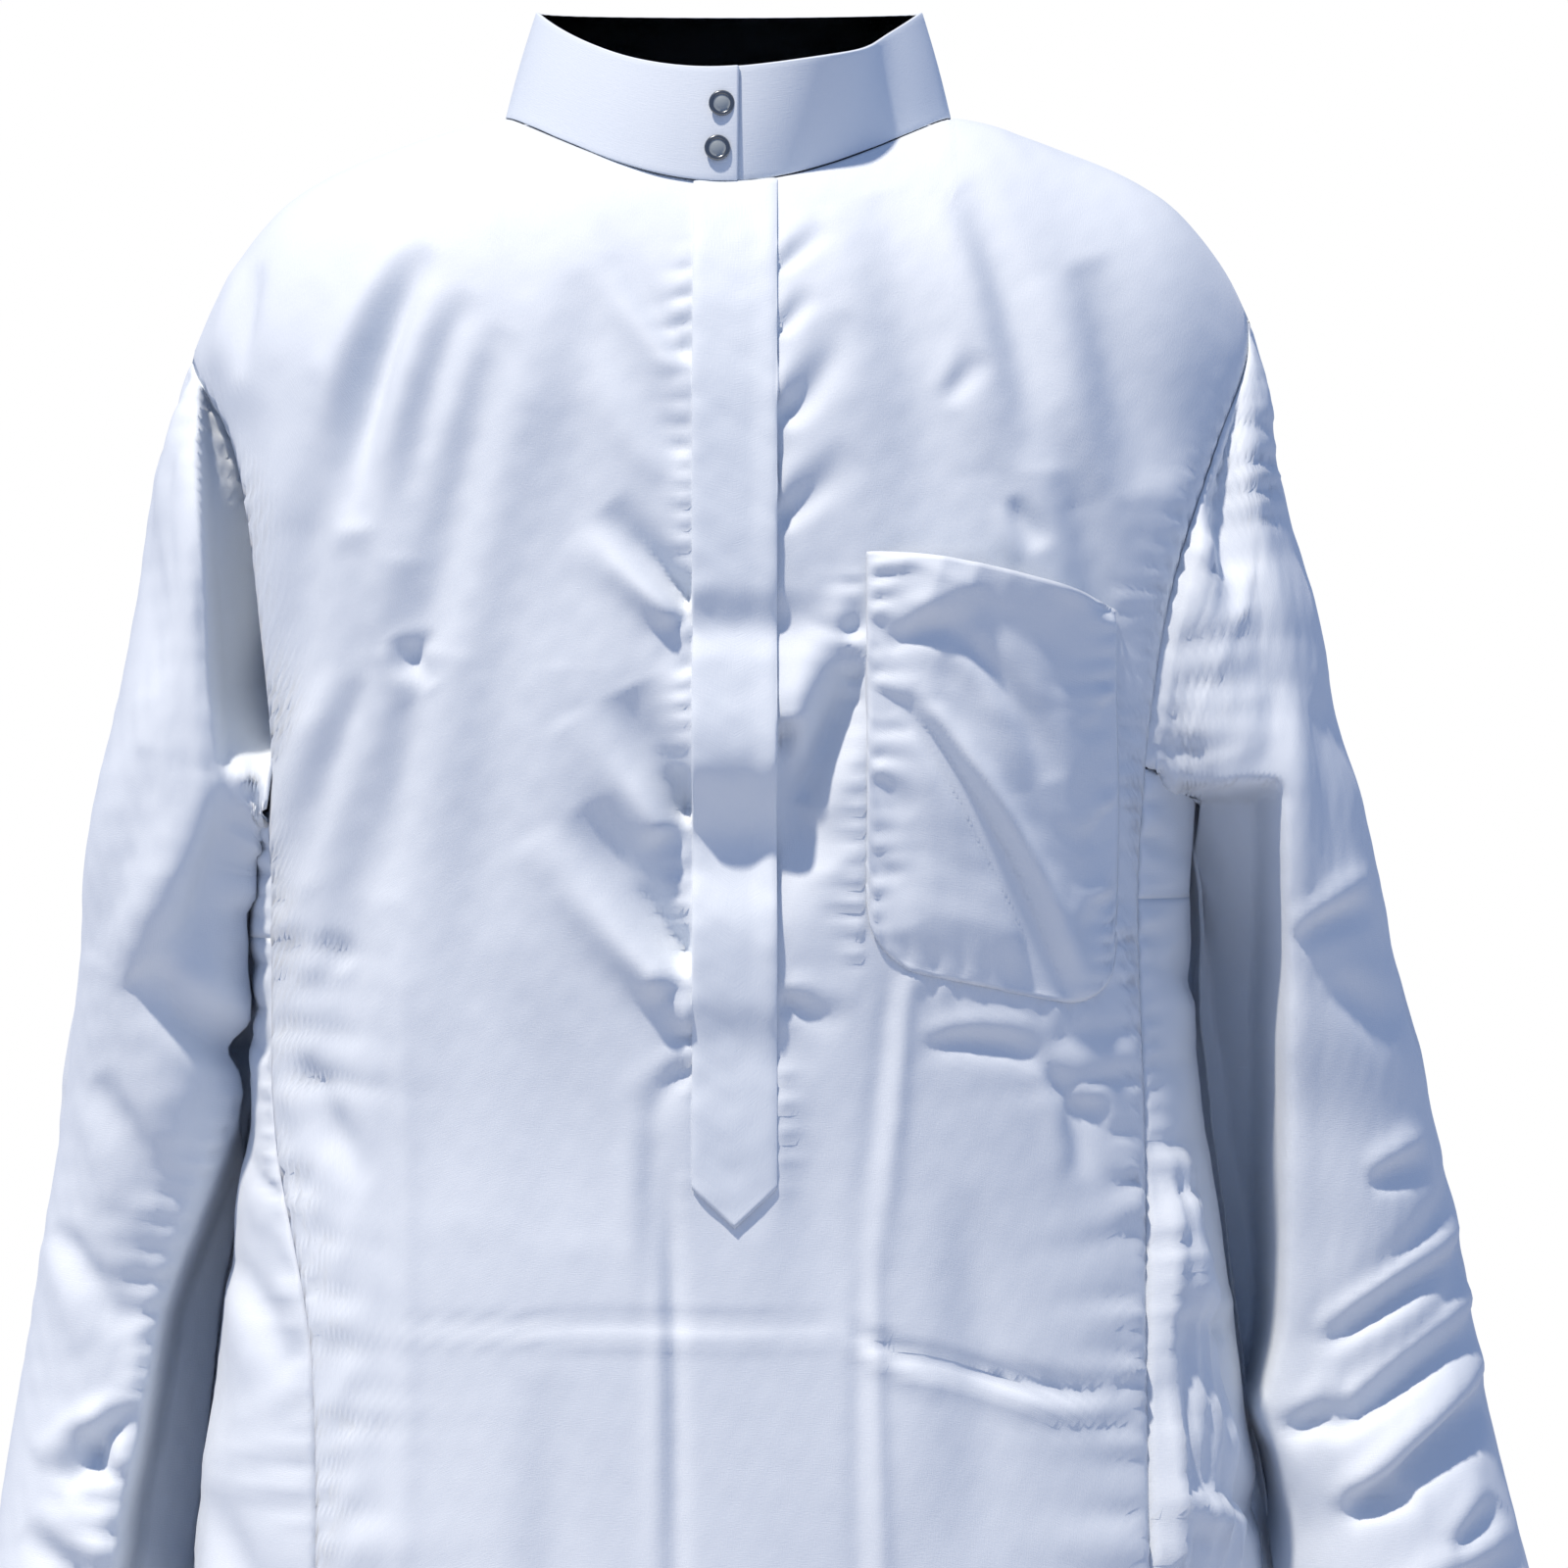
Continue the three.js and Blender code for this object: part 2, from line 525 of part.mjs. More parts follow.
// A button: a domed centre in a rounded rim, turned about its own axis.
function buttonGeometry() {
  const { radius, back, rim, well, dome } = BUTTON;
  const profile = [
    [0, 0],
    [back, 0],
    [radius, 0.5],
    [radius, 1.1],
    [radius - 0.5, 1.6],
    [well + 0.4, 1.6],
    [well, rim],
    [well * 0.7, dome],
    [well * 0.35, dome + 0.35],
    [0, dome + 0.45],
  ];
  const turned = new THREE.LatheGeometry(profile.map(([r, z]) => new THREE.Vector2(r, z)), 20);
  return turned.rotateX(Math.PI / 2);
}

// ---- Assembly -----------------------------------------------------------------------------------
const COLORS = { cloth: 0xe9edf5, band: 0xe6ebf4, button: 0xc9ced2 };
const robe = new THREE.Group();

function add(name, geometry, color, roughness) {
  const material = new THREE.MeshStandardMaterial({ color, roughness, metalness: 0 });
  const mesh = new THREE.Mesh(geometry, material);
  mesh.name = name;
  robe.add(mesh);
  return mesh;
}

add("front_panel", frontPanel(), COLORS.cloth, 0.6);
add("back_panel", panel(1, BACK_COLUMNS), COLORS.cloth, 0.6);
for (const [name, hand] of [["left", 1], ["right", -1]]) {
  add(`side_gore_${name}`, sideStrip(hand, UNDERARM.bottom, ROWS.length - 1), COLORS.cloth, 0.6);
  add(`underarm_gusset_${name}`, sideStrip(hand, UNDERARM.top, UNDERARM.bottom), COLORS.cloth, 0.6);
  add(`sleeve_${name}`, sleeve(hand), COLORS.cloth, 0.6);
}
add("collar_band", collarBand(), COLORS.band, 0.55);
add("placket_strip", placketStrip(), COLORS.band, 0.55);
add("placket_underlap", placketUnderlap(), COLORS.cloth, 0.6);
add("chest_pocket", chestPocket(), COLORS.cloth, 0.6);

BUTTONS.forEach(({ x, share }, k) => {
  const angle = Math.asin(x / NECK.wide);
  const over = BAND + LAYER + LAYER;
  const place = collarPoint(angle, 1 - share, over);
  const up = collarPoint(angle, 1 - share + 0.05, over).sub(place).normalize();
  const side = new THREE.Vector3(1, 0, 0);
  const out = new THREE.Vector3().crossVectors(side, up).normalize();
  const button = add(`collar_button_${k + 1}`, buttonGeometry(), COLORS.button, 0.2);
  button.setRotationFromMatrix(new THREE.Matrix4().makeBasis(side, up, out));
  button.position.copy(place).addScaledVector(out, 0.5);
});

export default robe;
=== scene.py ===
# %% [markdown]
# # A thobe robe, filled out as if worn
# The robe is cut from flat panels, but on a body it becomes a soft shell with its own round shoulders,
# hanging sides and sleeves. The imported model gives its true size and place. Here every panel is made again as
# fine cloth on the same form, with the folds, puckered seams and pressed creases that the plain solids lack.

# %% Load the frame
import math
from collections import namedtuple

import bmesh
import bpy
import numpy as np
from mathutils import Matrix, Vector


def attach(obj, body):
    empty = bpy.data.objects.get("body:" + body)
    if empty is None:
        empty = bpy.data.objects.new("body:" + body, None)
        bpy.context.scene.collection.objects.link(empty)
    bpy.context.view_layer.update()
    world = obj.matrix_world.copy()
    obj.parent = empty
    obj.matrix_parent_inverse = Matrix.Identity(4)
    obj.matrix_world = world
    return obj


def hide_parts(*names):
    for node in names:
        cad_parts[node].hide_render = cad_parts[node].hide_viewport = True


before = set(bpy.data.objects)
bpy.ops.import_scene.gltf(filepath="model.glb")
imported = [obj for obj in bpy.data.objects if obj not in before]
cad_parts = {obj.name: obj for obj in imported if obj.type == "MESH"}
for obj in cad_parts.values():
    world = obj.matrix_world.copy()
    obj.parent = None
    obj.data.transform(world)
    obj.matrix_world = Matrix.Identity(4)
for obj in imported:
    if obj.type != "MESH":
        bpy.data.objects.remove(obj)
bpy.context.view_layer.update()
MM = 0.001
print("nodes:", len(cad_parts))

# %% [markdown]
# ## Camera
# The camera stands level in front of the chest, far enough away that the robe is hardly foreshortened. It
# shows the upper half of the robe and leaves the rest below the frame.

# %% Camera
CAMERA_AWAY, VIEW_WIDE = 2.6, 0.624
camera = bpy.data.objects.new("camera", bpy.data.cameras.new("camera"))
bpy.context.scene.collection.objects.link(camera)
camera.location = (0.022, -CAMERA_AWAY, -0.264)
camera.rotation_euler = (math.radians(90), 0, 0)
camera.data.sensor_width = 36
camera.data.lens = camera.data.sensor_width * CAMERA_AWAY / VIEW_WIDE
bpy.context.scene.camera = camera
print("lens", round(camera.data.lens, 1))

# %% [markdown]
# ## Sizes
# These tables repeat the robe's own sections, in millimetres: how wide and deep the body is at each height,
# where the front panel ends, and where the sleeves hang. Smooth curves run through the rows.

# %% Tables of the form
def table(names, *rows):
    return dict(zip(names.split(), np.array(rows, float).T))

BODY = table("z sideL sideR seamL seamR front back",
             (60, 216, 222, 206, 215, 114, 106),
             (-90, 215, 222, 206, 215, 112, 111),
             (-130, 211, 213, 192, 195, 115, 114),
             (-186, 199, 201, 173, 183, 119, 116),
             (-245, 189, 194, 163, 178, 121, 114),
             (-303, 183, 189, 159, 178, 119, 111),
             (-400, 189, 190, 162, 176, 117, 108),
             (-480, 200, 201, 162, 161, 120, 111),
             (-576, 212, 212, 163, 158, 125, 117),
             (-800, 238, 237, 166, 161, 138, 131),
             (-1100, 268, 266, 172, 168, 152, 146),
             (-1400, 294, 292, 179, 176, 165, 160))
SHOULDER_LINE = table("x z", (0, 0), (88, 0), (131, -12), (170, -31), (195, -59), (208, -83), (222, -110))
SLEEVE = table("z outL inL outR inR deep behindL behindR tilt",
               (-80, 206, 150, 215, 160, 66, 0, 0, 0),
               (-190, 231, 168, 236, 172, 78, 0, 2, 0),
               (-300, 258, 178, 256, 180, 76, 4, 10, 0),
               (-350, 269, 180, 262, 180, 74, 12, 24, 3),
               (-420, 286, 186, 271, 184, 70, 18, 38, 6),
               (-500, 301, 197, 284, 195, 66, 14, 40, 8),
               (-576, 315, 210, 296, 207, 62, 4, 34, 9),
               (-680, 334, 232, 313, 230, 56, -14, 14, 9))
FLUTES = table("at wide out",
               (-158, 13, 15), (-128, 10, -12), (-102, 12, 17), (-74, 10, -13), (-52, 9, 14), (-31, 9, -12),
               (-9, 10, 11), (16, 9, -13), (39, 10, 15), (63, 9, -12), (86, 12, 18), (114, 10, -13),
               (140, 12, 14), (168, 10, -11))
SHOULDER = {1: 206.0, -1: 215.0}
NECK_WIDE, NECK_FRONT, NECK_BACK, NAPE = 88.0, 76.0, 70.0, 30.0
ROUND, OVAL, HEM, CUFF = 120.0, 2.4, -1400.0, -680.0
GUSSET_TOP, GUSSET_LOW = 2, 4
ROWS = np.array([-203, -232, -262, -287, -312, -347, -388, -428, -482, -540, -600, -670, -750, -840, -940,
                 -1050, -1165, -1280, -1400], float)
TURN_ROWS = 6
ARM_STEPS, SIDE_STEPS = 8, 5
print("length", HEM, "mm from the shoulder line")

# %% [markdown]
# ## Reading a table
# Straight lines between the rows would give the cloth corners, so each column is read as a smooth curve: a
# cubic through the rows, whose slope at a row is that of the line through its two neighbours.

# %% Reading the tables
def read(rows, key, at, name):
    keys, values = rows[key], rows[name]
    if keys[0] > keys[-1]:
        keys, values = keys[::-1], values[::-1]
    at = np.asarray(at, float)
    i = np.clip(np.searchsorted(keys, at, side="right") - 1, 0, len(keys) - 2)
    o, r = np.maximum(i - 1, 0), np.minimum(i + 2, len(keys) - 1)
    span = keys[i + 1] - keys[i]
    t = np.clip((at - keys[i]) / span, 0, 1)
    left = (values[i + 1] - values[o]) / (keys[i + 1] - keys[o]) * span
    right = (values[r] - values[i]) / (keys[r] - keys[i]) * span
    return ((2 * t**3 - 3 * t**2 + 1) * values[i] + (t**3 - 2 * t**2 + t) * left
            + (3 * t**2 - 2 * t**3) * values[i + 1] + (t**3 - t**2) * right)

# "side" is the body's own half width, and "seam" is where the front and back panels end.
def half_width(name, hand, z):
    return np.where(np.asarray(hand) < 0, read(BODY, "z", z, name + "R"), read(BODY, "z", z, name + "L"))

# A negative way means the front, and a positive one the back.
def depth(way, z):
    return np.where(np.asarray(way) < 0, read(BODY, "z", z, "front"), read(BODY, "z", z, "back"))

def lerp(a, b, t):
    return a + (b - a) * t

def smooth(t, a=0.0, b=1.0):
    t = np.clip((np.asarray(t, float) - a) / (b - a), 0, 1)
    return t * t * (3 - 2 * t)

def bell(t):
    return np.exp(-np.square(t))

print("waist half width", float(half_width("side", 1, -400)))

# %% [markdown]
# ## The body's form
# A point of a panel is found from two numbers: how far across the panel it is, and how far down. Near the
# shoulder the cloth turns over in a quarter round; below that it hangs, and flutes open towards the hem.

# %% Body form
# Waves in the hem: each row of FLUTES is a rounded ridge or trough at an angle round the body, and they grow
# from nothing at the waist to their full size at the hem.
FLUTES_FROM = 480

def flutes(x, y, z):
    side, deep = half_width("side", x, z), depth(y, z)
    round_at = np.degrees(np.arctan2(x / side, -y / deep))
    total = np.zeros_like(round_at)
    for at, wide, out in zip(FLUTES["at"], FLUTES["wide"], FLUTES["out"]):
        away = (round_at - at + 540) % 360 - 180
        total += out * bell(away / wide)
    return total * smooth(-z, FLUTES_FROM, -HEM)

def body_point(way, across, z, turn):
    x = across * half_width("seam", across, z)
    side, deep = half_width("side", across, z), depth(way, z)
    oval = np.maximum(0, 1 - np.abs(x / side) ** OVAL) ** (1 / OVAL)
    y = way * deep * oval * np.sin(turn)
    slope = np.hypot(x / side**2, y / deep**2)
    out = flutes(x, y, z) * np.sin(turn) / np.maximum(slope, 1e-9)
    return np.stack([x + out * x / side**2, y + out * y / deep**2, z + 0 * x], -1)

def shoulder_x(across):
    return np.where(np.asarray(across) < 0, SHOULDER[-1], SHOULDER[1])

def top_of(way, across):
    x = np.abs(across * shoulder_x(across))
    nape = NAPE * np.maximum(0, 1 - (x / NECK_WIDE) ** 2) if way > 0 else 0
    return read(SHOULDER_LINE, "x", x, "z") + nape

def start_turn(way, across):
    x = across * shoulder_x(across)
    inside = np.maximum(0, 1 - (x / NECK_WIDE) ** 2)
    reach = (NECK_FRONT if way < 0 else NECK_BACK) * np.sqrt(inside)
    z = top_of(way, across) - 20
    oval = np.maximum(0, 1 - np.abs(x / half_width("side", x, z)) ** OVAL) ** (1 / OVAL)
    return np.arcsin(np.minimum(1, reach / (depth(way, z) * oval)))

# How far down each row lies, as a share of the way from the first row to the hem.
SHARES = (ROWS - ROWS[0]) / (HEM - ROWS[0])

def pick(values, place):
    place = np.asarray(place, float)
    i = np.clip(np.floor(place).astype(int), 0, len(values) - 2)
    return values[i] + (values[i + 1] - values[i]) * (place - i)

# across runs from -1 to 1 between the side seams, and row counts down from the shoulder seam.
def panel_point(way, across, row):
    across, row = np.broadcast_arrays(np.asarray(across, float), np.asarray(row, float))
    top = top_of(way, across)
    turn = lerp(start_turn(way, across), math.pi / 2, np.minimum(row / TURN_ROWS, 1))
    low = lerp(top - ROUND, HEM, pick(SHARES, np.maximum(row - TURN_ROWS, 0)))
    z = np.where(row < TURN_ROWS, top - ROUND * (1 - np.cos(turn)), low)
    return body_point(way, across, z, turn)

def edge_z(hand, row):
    return lerp(top_of(1, np.array(float(hand))) - ROUND, HEM, pick(SHARES, row))

# A point of the strip under the arm: share runs from the front seam, at 0, to the back one, at 1.
def side_point(hand, share, z):
    side = half_width("side", hand, z)
    start = np.arccos((half_width("seam", hand, z) / side) ** (OVAL / 2))
    angle = lerp(-start, start, share)
    deep = depth(angle, z)
    x = side * np.cos(angle) ** (2 / OVAL)
    y = np.sign(angle) * deep * np.abs(np.sin(angle)) ** (2 / OVAL)
    slope = np.hypot(x / side**2, y / deep**2)
    out = flutes(hand * x, y, z) / slope
    return np.stack([hand * (x + out * x / side**2), y + out * y / deep**2, z + 0 * x], -1)

# The opposite of panel_point: where on the panel a point at x and z lies.
def row_of(way, x, z):
    across = x / half_width("seam", x, z)
    top = top_of(way, across)
    turn = np.arccos(np.clip(1 - (top - z) / ROUND, -1, 1))
    first = start_turn(way, across)
    over = TURN_ROWS * (turn - first) / (math.pi / 2 - first)
    share = np.clip((z - top + ROUND) / (HEM - top + ROUND), 0, 1)
    under = TURN_ROWS + np.interp(share, SHARES, np.arange(len(SHARES)))
    return across, np.where(z > top - ROUND, over, under)

print("shoulder point", panel_point(-1, 1.0, 0.0).round(1))

# %% [markdown]
# ## Folds
# Cloth shows its folds as soft troughs with a roll beside them. Each is listed: where it starts and
# ends, how it bows, how wide and deep it is, and how high its roll is. The roll stands above the trough and
# to the left, or on the other side if it is negative. A fold that starts in a seam is deep there and fades
# out; the others fade at both ends.

# %% Fold tools
Fold = namedtuple("Fold", "x0 z0 x1 z1 bow wide deep roll held", defaults=(0, 6, 3, 0.5, 0))

# How far along a fold each point is, from 0 to 1, and how far away from it, with a sign for the side.
def along(x, z, fold, steps=10):
    t = np.linspace(0, 1, steps + 1)
    dx, dz = fold.x1 - fold.x0, fold.z1 - fold.z0
    length = math.hypot(dx, dz)
    bow = fold.bow * 4 * t * (1 - t)
    px, pz = fold.x0 + dx * t - dz / length * bow, fold.z0 + dz * t + dx / length * bow
    best = np.full(np.shape(x), 1e9)
    place, away = np.zeros(np.shape(x)), np.zeros(np.shape(x))
    for k in range(steps):
        sx, sz = px[k + 1] - px[k], pz[k + 1] - pz[k]
        u = np.clip(((x - px[k]) * sx + (z - pz[k]) * sz) / (sx * sx + sz * sz), 0, 1)
        ox, oz = x - px[k] - u * sx, z - pz[k] - u * sz
        gap = np.hypot(ox, oz)
        near = gap < best
        best = np.where(near, gap, best)
        place = np.where(near, (k + u) / steps, place)
        away = np.where(near, gap * np.sign(sx * oz - sz * ox), away)
    return place, away

def fold_height(x, z, folds):
    total = np.zeros(np.shape(x))
    for fold in folds:
        reach = 4 * fold.wide + abs(fold.bow)
        lo_x, hi_x = min(fold.x0, fold.x1) - reach, max(fold.x0, fold.x1) + reach
        lo_z, hi_z = min(fold.z0, fold.z1) - reach, max(fold.z0, fold.z1) + reach
        near = (x > lo_x) & (x < hi_x) & (z > lo_z) & (z < hi_z)
        if not near.any():
            continue
        place, away = along(x[near], z[near], fold)
        if fold.held:
            strength = (1 - place) ** 0.8 * smooth(place, -0.05, 0.12)
        else:
            strength = np.sin(math.pi * np.clip(place, 0, 1)) ** 0.7
        wide = fold.wide * (0.75 + 0.5 * place)
        rising = fold.x1 - fold.x0 + fold.z1 - fold.z0 > 0
        side = (1 if rising else -1) * (1 if fold.roll >= 0 else -1)
        shape = -bell(away / wide) + abs(fold.roll) * bell((away * side - 1.75 * wide) / (1.1 * wide))
        total[near] += fold.deep * strength * shape
    return total

# %% [markdown]
# ## Small unevenness
# Real cloth is never regular, so four helpers add what is too small to list one by one. wander is a slow
# random curve. pucker draws up the cloth beside a line of stitches: s runs along the seam, d away from it.
# unevenness is a gentle swell, and crumple is the sharp ridges of crushed cloth. Each has its own seed, so
# it comes out the same on every run.

# %% Seams and crumples
def wander(s, seed):
    rng = np.random.default_rng(seed)
    total = 0
    for k in range(5):
        total = total + np.sin(s * rng.uniform(0.4, 2.2) + rng.uniform(0, 6.28)) * rng.uniform(0.5, 1)
    return total / 2.2

def pucker(s, d, seed, period=11.0, reach=5.0, deep=1.6):
    phase = math.pi * s / period + 1.3 * wander(s / 26, seed)
    size = np.clip(0.62 + 0.5 * wander(s / 15, seed + 1), 0.08, 1.5)
    far = reach * np.clip(0.9 + 0.45 * wander(s / 19, seed + 2), 0.45, 1.9)
    lean = phase + 0.05 * d * wander(s / 40, seed + 3)
    swell = (d / far) * np.exp(1 - d / far)
    return deep * size * swell * (np.abs(np.sin(lean)) - 0.42)

def unevenness(x, z, seed, size, low, high):
    rng = np.random.default_rng(seed)
    total = np.zeros(np.shape(x))
    for k in range(9):
        angle, wave, phase = rng.uniform(0, math.pi), rng.uniform(low, high), rng.uniform(0, 6.28)
        total += np.sin((x * math.cos(angle) + z * math.sin(angle)) * 2 * math.pi / wave + phase)
    return size * total / 3

def crumple(x, z, seed, size, wave):
    rng = np.random.default_rng(seed)
    total = np.zeros(np.shape(x))
    for k in range(5):
        angle, stretch = rng.uniform(0, math.pi), rng.uniform(0.7, 1.5) * wave
        warp = 0.9 * np.sin(x / wave / 1.7 + 6 * rng.random())
        warp = warp + 0.9 * np.sin(z / wave / 1.9 + 6 * rng.random())
        ahead = x * math.cos(angle) + z * math.sin(angle)
        total += 1 - 2 * np.abs(np.sin(math.pi * ahead / stretch + warp))
    return size * total / 2.6

# Cloth dips a little where it is sewn to its neighbour.
def groove(d):
    return 0.5 * bell(d / 1.6)

print("a pucker of", round(float(pucker(np.array(5.0), np.array(5.0), 3)), 2), "mm")

# %% [markdown]
# ## Making a panel
# A panel starts as a flat grid, which is what cloth is. Each of its points is then moved to its place on the
# form and pushed in or out by its folds. A Solidify modifier gives the cloth its thickness. The grid's own
# layout, in real metres, becomes the UV map that the weave follows. A tube's two edges are merged.

# %% Panel tools
def normals_of(points, ring=False):
    if ring:
        wide = np.roll(points[:, :-1], -1, 1) - np.roll(points[:, :-1], 1, 1)
        wide = np.concatenate([wide, wide[:, :1]], 1)
    else:
        wide = np.gradient(points, axis=1)
    down = np.gradient(points, axis=0)
    n = np.cross(down, wide)
    return n / np.maximum(np.linalg.norm(n, axis=-1, keepdims=True), 1e-9)

def cloth(name, points, ring=False, thick=0.9, flat=(1, 1), gone=None):
    rows, columns = points.shape[0] - 1, points.shape[1] - 1
    bm = bmesh.new()
    bmesh.ops.create_grid(bm, x_segments=columns, y_segments=rows, size=0.5)
    mesh = bpy.data.meshes.new(name)
    bm.to_mesh(mesh)
    bm.free()
    co = np.empty(len(mesh.vertices) * 3)
    mesh.vertices.foreach_get("co", co)
    i = np.rint((co[0::3] + 0.5) * columns).astype(int)
    j = np.rint((0.5 - co[1::3]) * rows).astype(int)
    mesh.vertices.foreach_set("co", (points[j, i] * MM).ravel())
    corner = np.empty(len(mesh.loops), int)
    mesh.loops.foreach_get("vertex_index", corner)
    layer = mesh.uv_layers.new(name="cloth")
    uv = np.stack([i[corner] / columns * flat[0], j[corner] / rows * flat[1]], -1)
    layer.data.foreach_set("uv", uv.ravel())
    bm = bmesh.new()
    bm.from_mesh(mesh)
    if gone is not None:
        hit = [f for f in bm.faces
               if gone[min(j[v.index] for v in f.verts), min(i[v.index] for v in f.verts)]]
        bmesh.ops.delete(bm, geom=hit, context="FACES")
    if ring:
        bmesh.ops.remove_doubles(bm, verts=bm.verts, dist=1e-6)
    for face in bm.faces:
        face.smooth = True
    bm.to_mesh(mesh)
    bm.free()
    piece = bpy.data.objects.new(name, mesh)
    bpy.context.scene.collection.objects.link(piece)
    wall = piece.modifiers.new("wall", "SOLIDIFY")
    wall.thickness, wall.offset = thick * MM, -1
    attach(piece, "root")
    down, wide = points[1:, :-1] - points[:-1, :-1], points[:-1, 1:] - points[:-1, :-1]
    area = np.linalg.norm(np.cross(down, wide), axis=-1).sum() * MM**2
    print(name, len(mesh.polygons), "faces", round(float(area), 4), "square metres")
    return piece

def dress(piece, finish, node):
    piece.data.materials.append(finish)
    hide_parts(node)
    return piece

def spread(stops):
    return np.concatenate([np.linspace(a, b, n, endpoint=False) for a, b, n in stops] + [[stops[-1][1]]])

# Grid rows for a body panel: close together down to FINE_TO, where the folds are, and wider below.
FINE_TO = -620

def panel_rows(n_turn, n_fine, n_coarse):
    low = np.interp(FINE_TO, ROWS[::-1], np.arange(len(ROWS))[::-1]) + TURN_ROWS
    last = TURN_ROWS + len(ROWS) - 1
    return spread([(0, TURN_ROWS, n_turn), (TURN_ROWS, low, n_fine), (low, last, n_coarse)])

print("tools ready")

# %% [markdown]
# ## Finishes
# The robe is a light, smooth white cloth, so it needs only a fine grain in its surface and a little sheen.
# The weave is one shared pattern of crossing threads, with slightly thicker threads here and there. It
# follows each panel's own grain, because each panel is laid out flat in real metres.

# %% Weave
# Noise stretched along one direction makes threads: how many to the metre across and along, for each way.
THREADS = ((2400, 240, 1), (260, 2400, 1))

def weave():
    group = bpy.data.node_groups.new("weave", "ShaderNodeTree")
    group.interface.new_socket("Normal", in_out="OUTPUT", socket_type="NodeSocketVector")
    nodes, links = group.nodes, group.links
    place = nodes.new("ShaderNodeUVMap")
    place.uv_map = "cloth"
    sums = None
    for stretch in THREADS:
        mapping = nodes.new("ShaderNodeMapping")
        mapping.inputs["Scale"].default_value = stretch
        links.new(place.outputs["UV"], mapping.inputs["Vector"])
        slub = nodes.new("ShaderNodeTexNoise")
        slub.inputs["Scale"].default_value = 1.0
        slub.inputs["Detail"].default_value = 2.0
        links.new(mapping.outputs["Vector"], slub.inputs["Vector"])
        if sums is None:
            sums = slub.outputs["Fac"]
        else:
            add = nodes.new("ShaderNodeMath")
            add.operation = "ADD"
            links.new(sums, add.inputs[0])
            links.new(slub.outputs["Fac"], add.inputs[1])
            sums = add.outputs["Value"]
    bump = nodes.new("ShaderNodeBump")
    bump.inputs["Strength"].default_value = 0.35
    bump.inputs["Distance"].default_value = 0.00025
    links.new(sums, bump.inputs["Height"])
    out = nodes.new("NodeGroupOutput")
    links.new(bump.outputs["Normal"], out.inputs["Normal"])
    return group

WEAVE = weave()
print("weave of", len(WEAVE.nodes), "nodes")

# %% [markdown]
# ## Materials
# One function sets a Principled surface. The band cloth of the collar and placket is stiffened, so it is a
# little smoother than the robe's. A clear coat makes the buttons' domes gleam like pearl.

# %% Cloth and button materials
def finish_of(name, color, rough, sheen=0.0, coat=0.0, metal=0.0, woven=True, specular=0.4):
    made = bpy.data.materials.new(name)
    made.use_nodes = True
    shader = made.node_tree.nodes["Principled BSDF"]
    shader.inputs["Base Color"].default_value = (*color, 1)
    shader.inputs["Roughness"].default_value = rough
    shader.inputs["Metallic"].default_value = metal
    shader.inputs["Specular IOR Level"].default_value = specular
    shader.inputs["Sheen Weight"].default_value = sheen
    shader.inputs["Sheen Roughness"].default_value = 0.4
    shader.inputs["Coat Weight"].default_value = coat
    shader.inputs["Coat Roughness"].default_value = 0.05
    if woven:
        grain = made.node_tree.nodes.new("ShaderNodeGroup")
        grain.node_tree = WEAVE
        made.node_tree.links.new(grain.outputs["Normal"], shader.inputs["Normal"])
    return made

CLOTH = finish_of("white cloth", (0.73, 0.775, 0.83), 0.62, sheen=0.15, specular=0.3)
BAND = finish_of("band cloth", (0.72, 0.77, 0.83), 0.55, sheen=0.12, specular=0.35)
PEARL = finish_of("smoky pearl", (0.30, 0.33, 0.34), 0.16, coat=1.0, woven=False, specular=0.6)
RIM = finish_of("dark rim", (0.16, 0.17, 0.18), 0.22, metal=0.9, coat=0.4, woven=False)
print("materials:", len(bpy.data.materials))

# %% [markdown]
# ## Front panel
# The chest carries most of the folds. Some run into the placket, which holds them tight; some hang from the
# shoulder; and lower down there are sharp lines where the robe was pressed and folded flat.

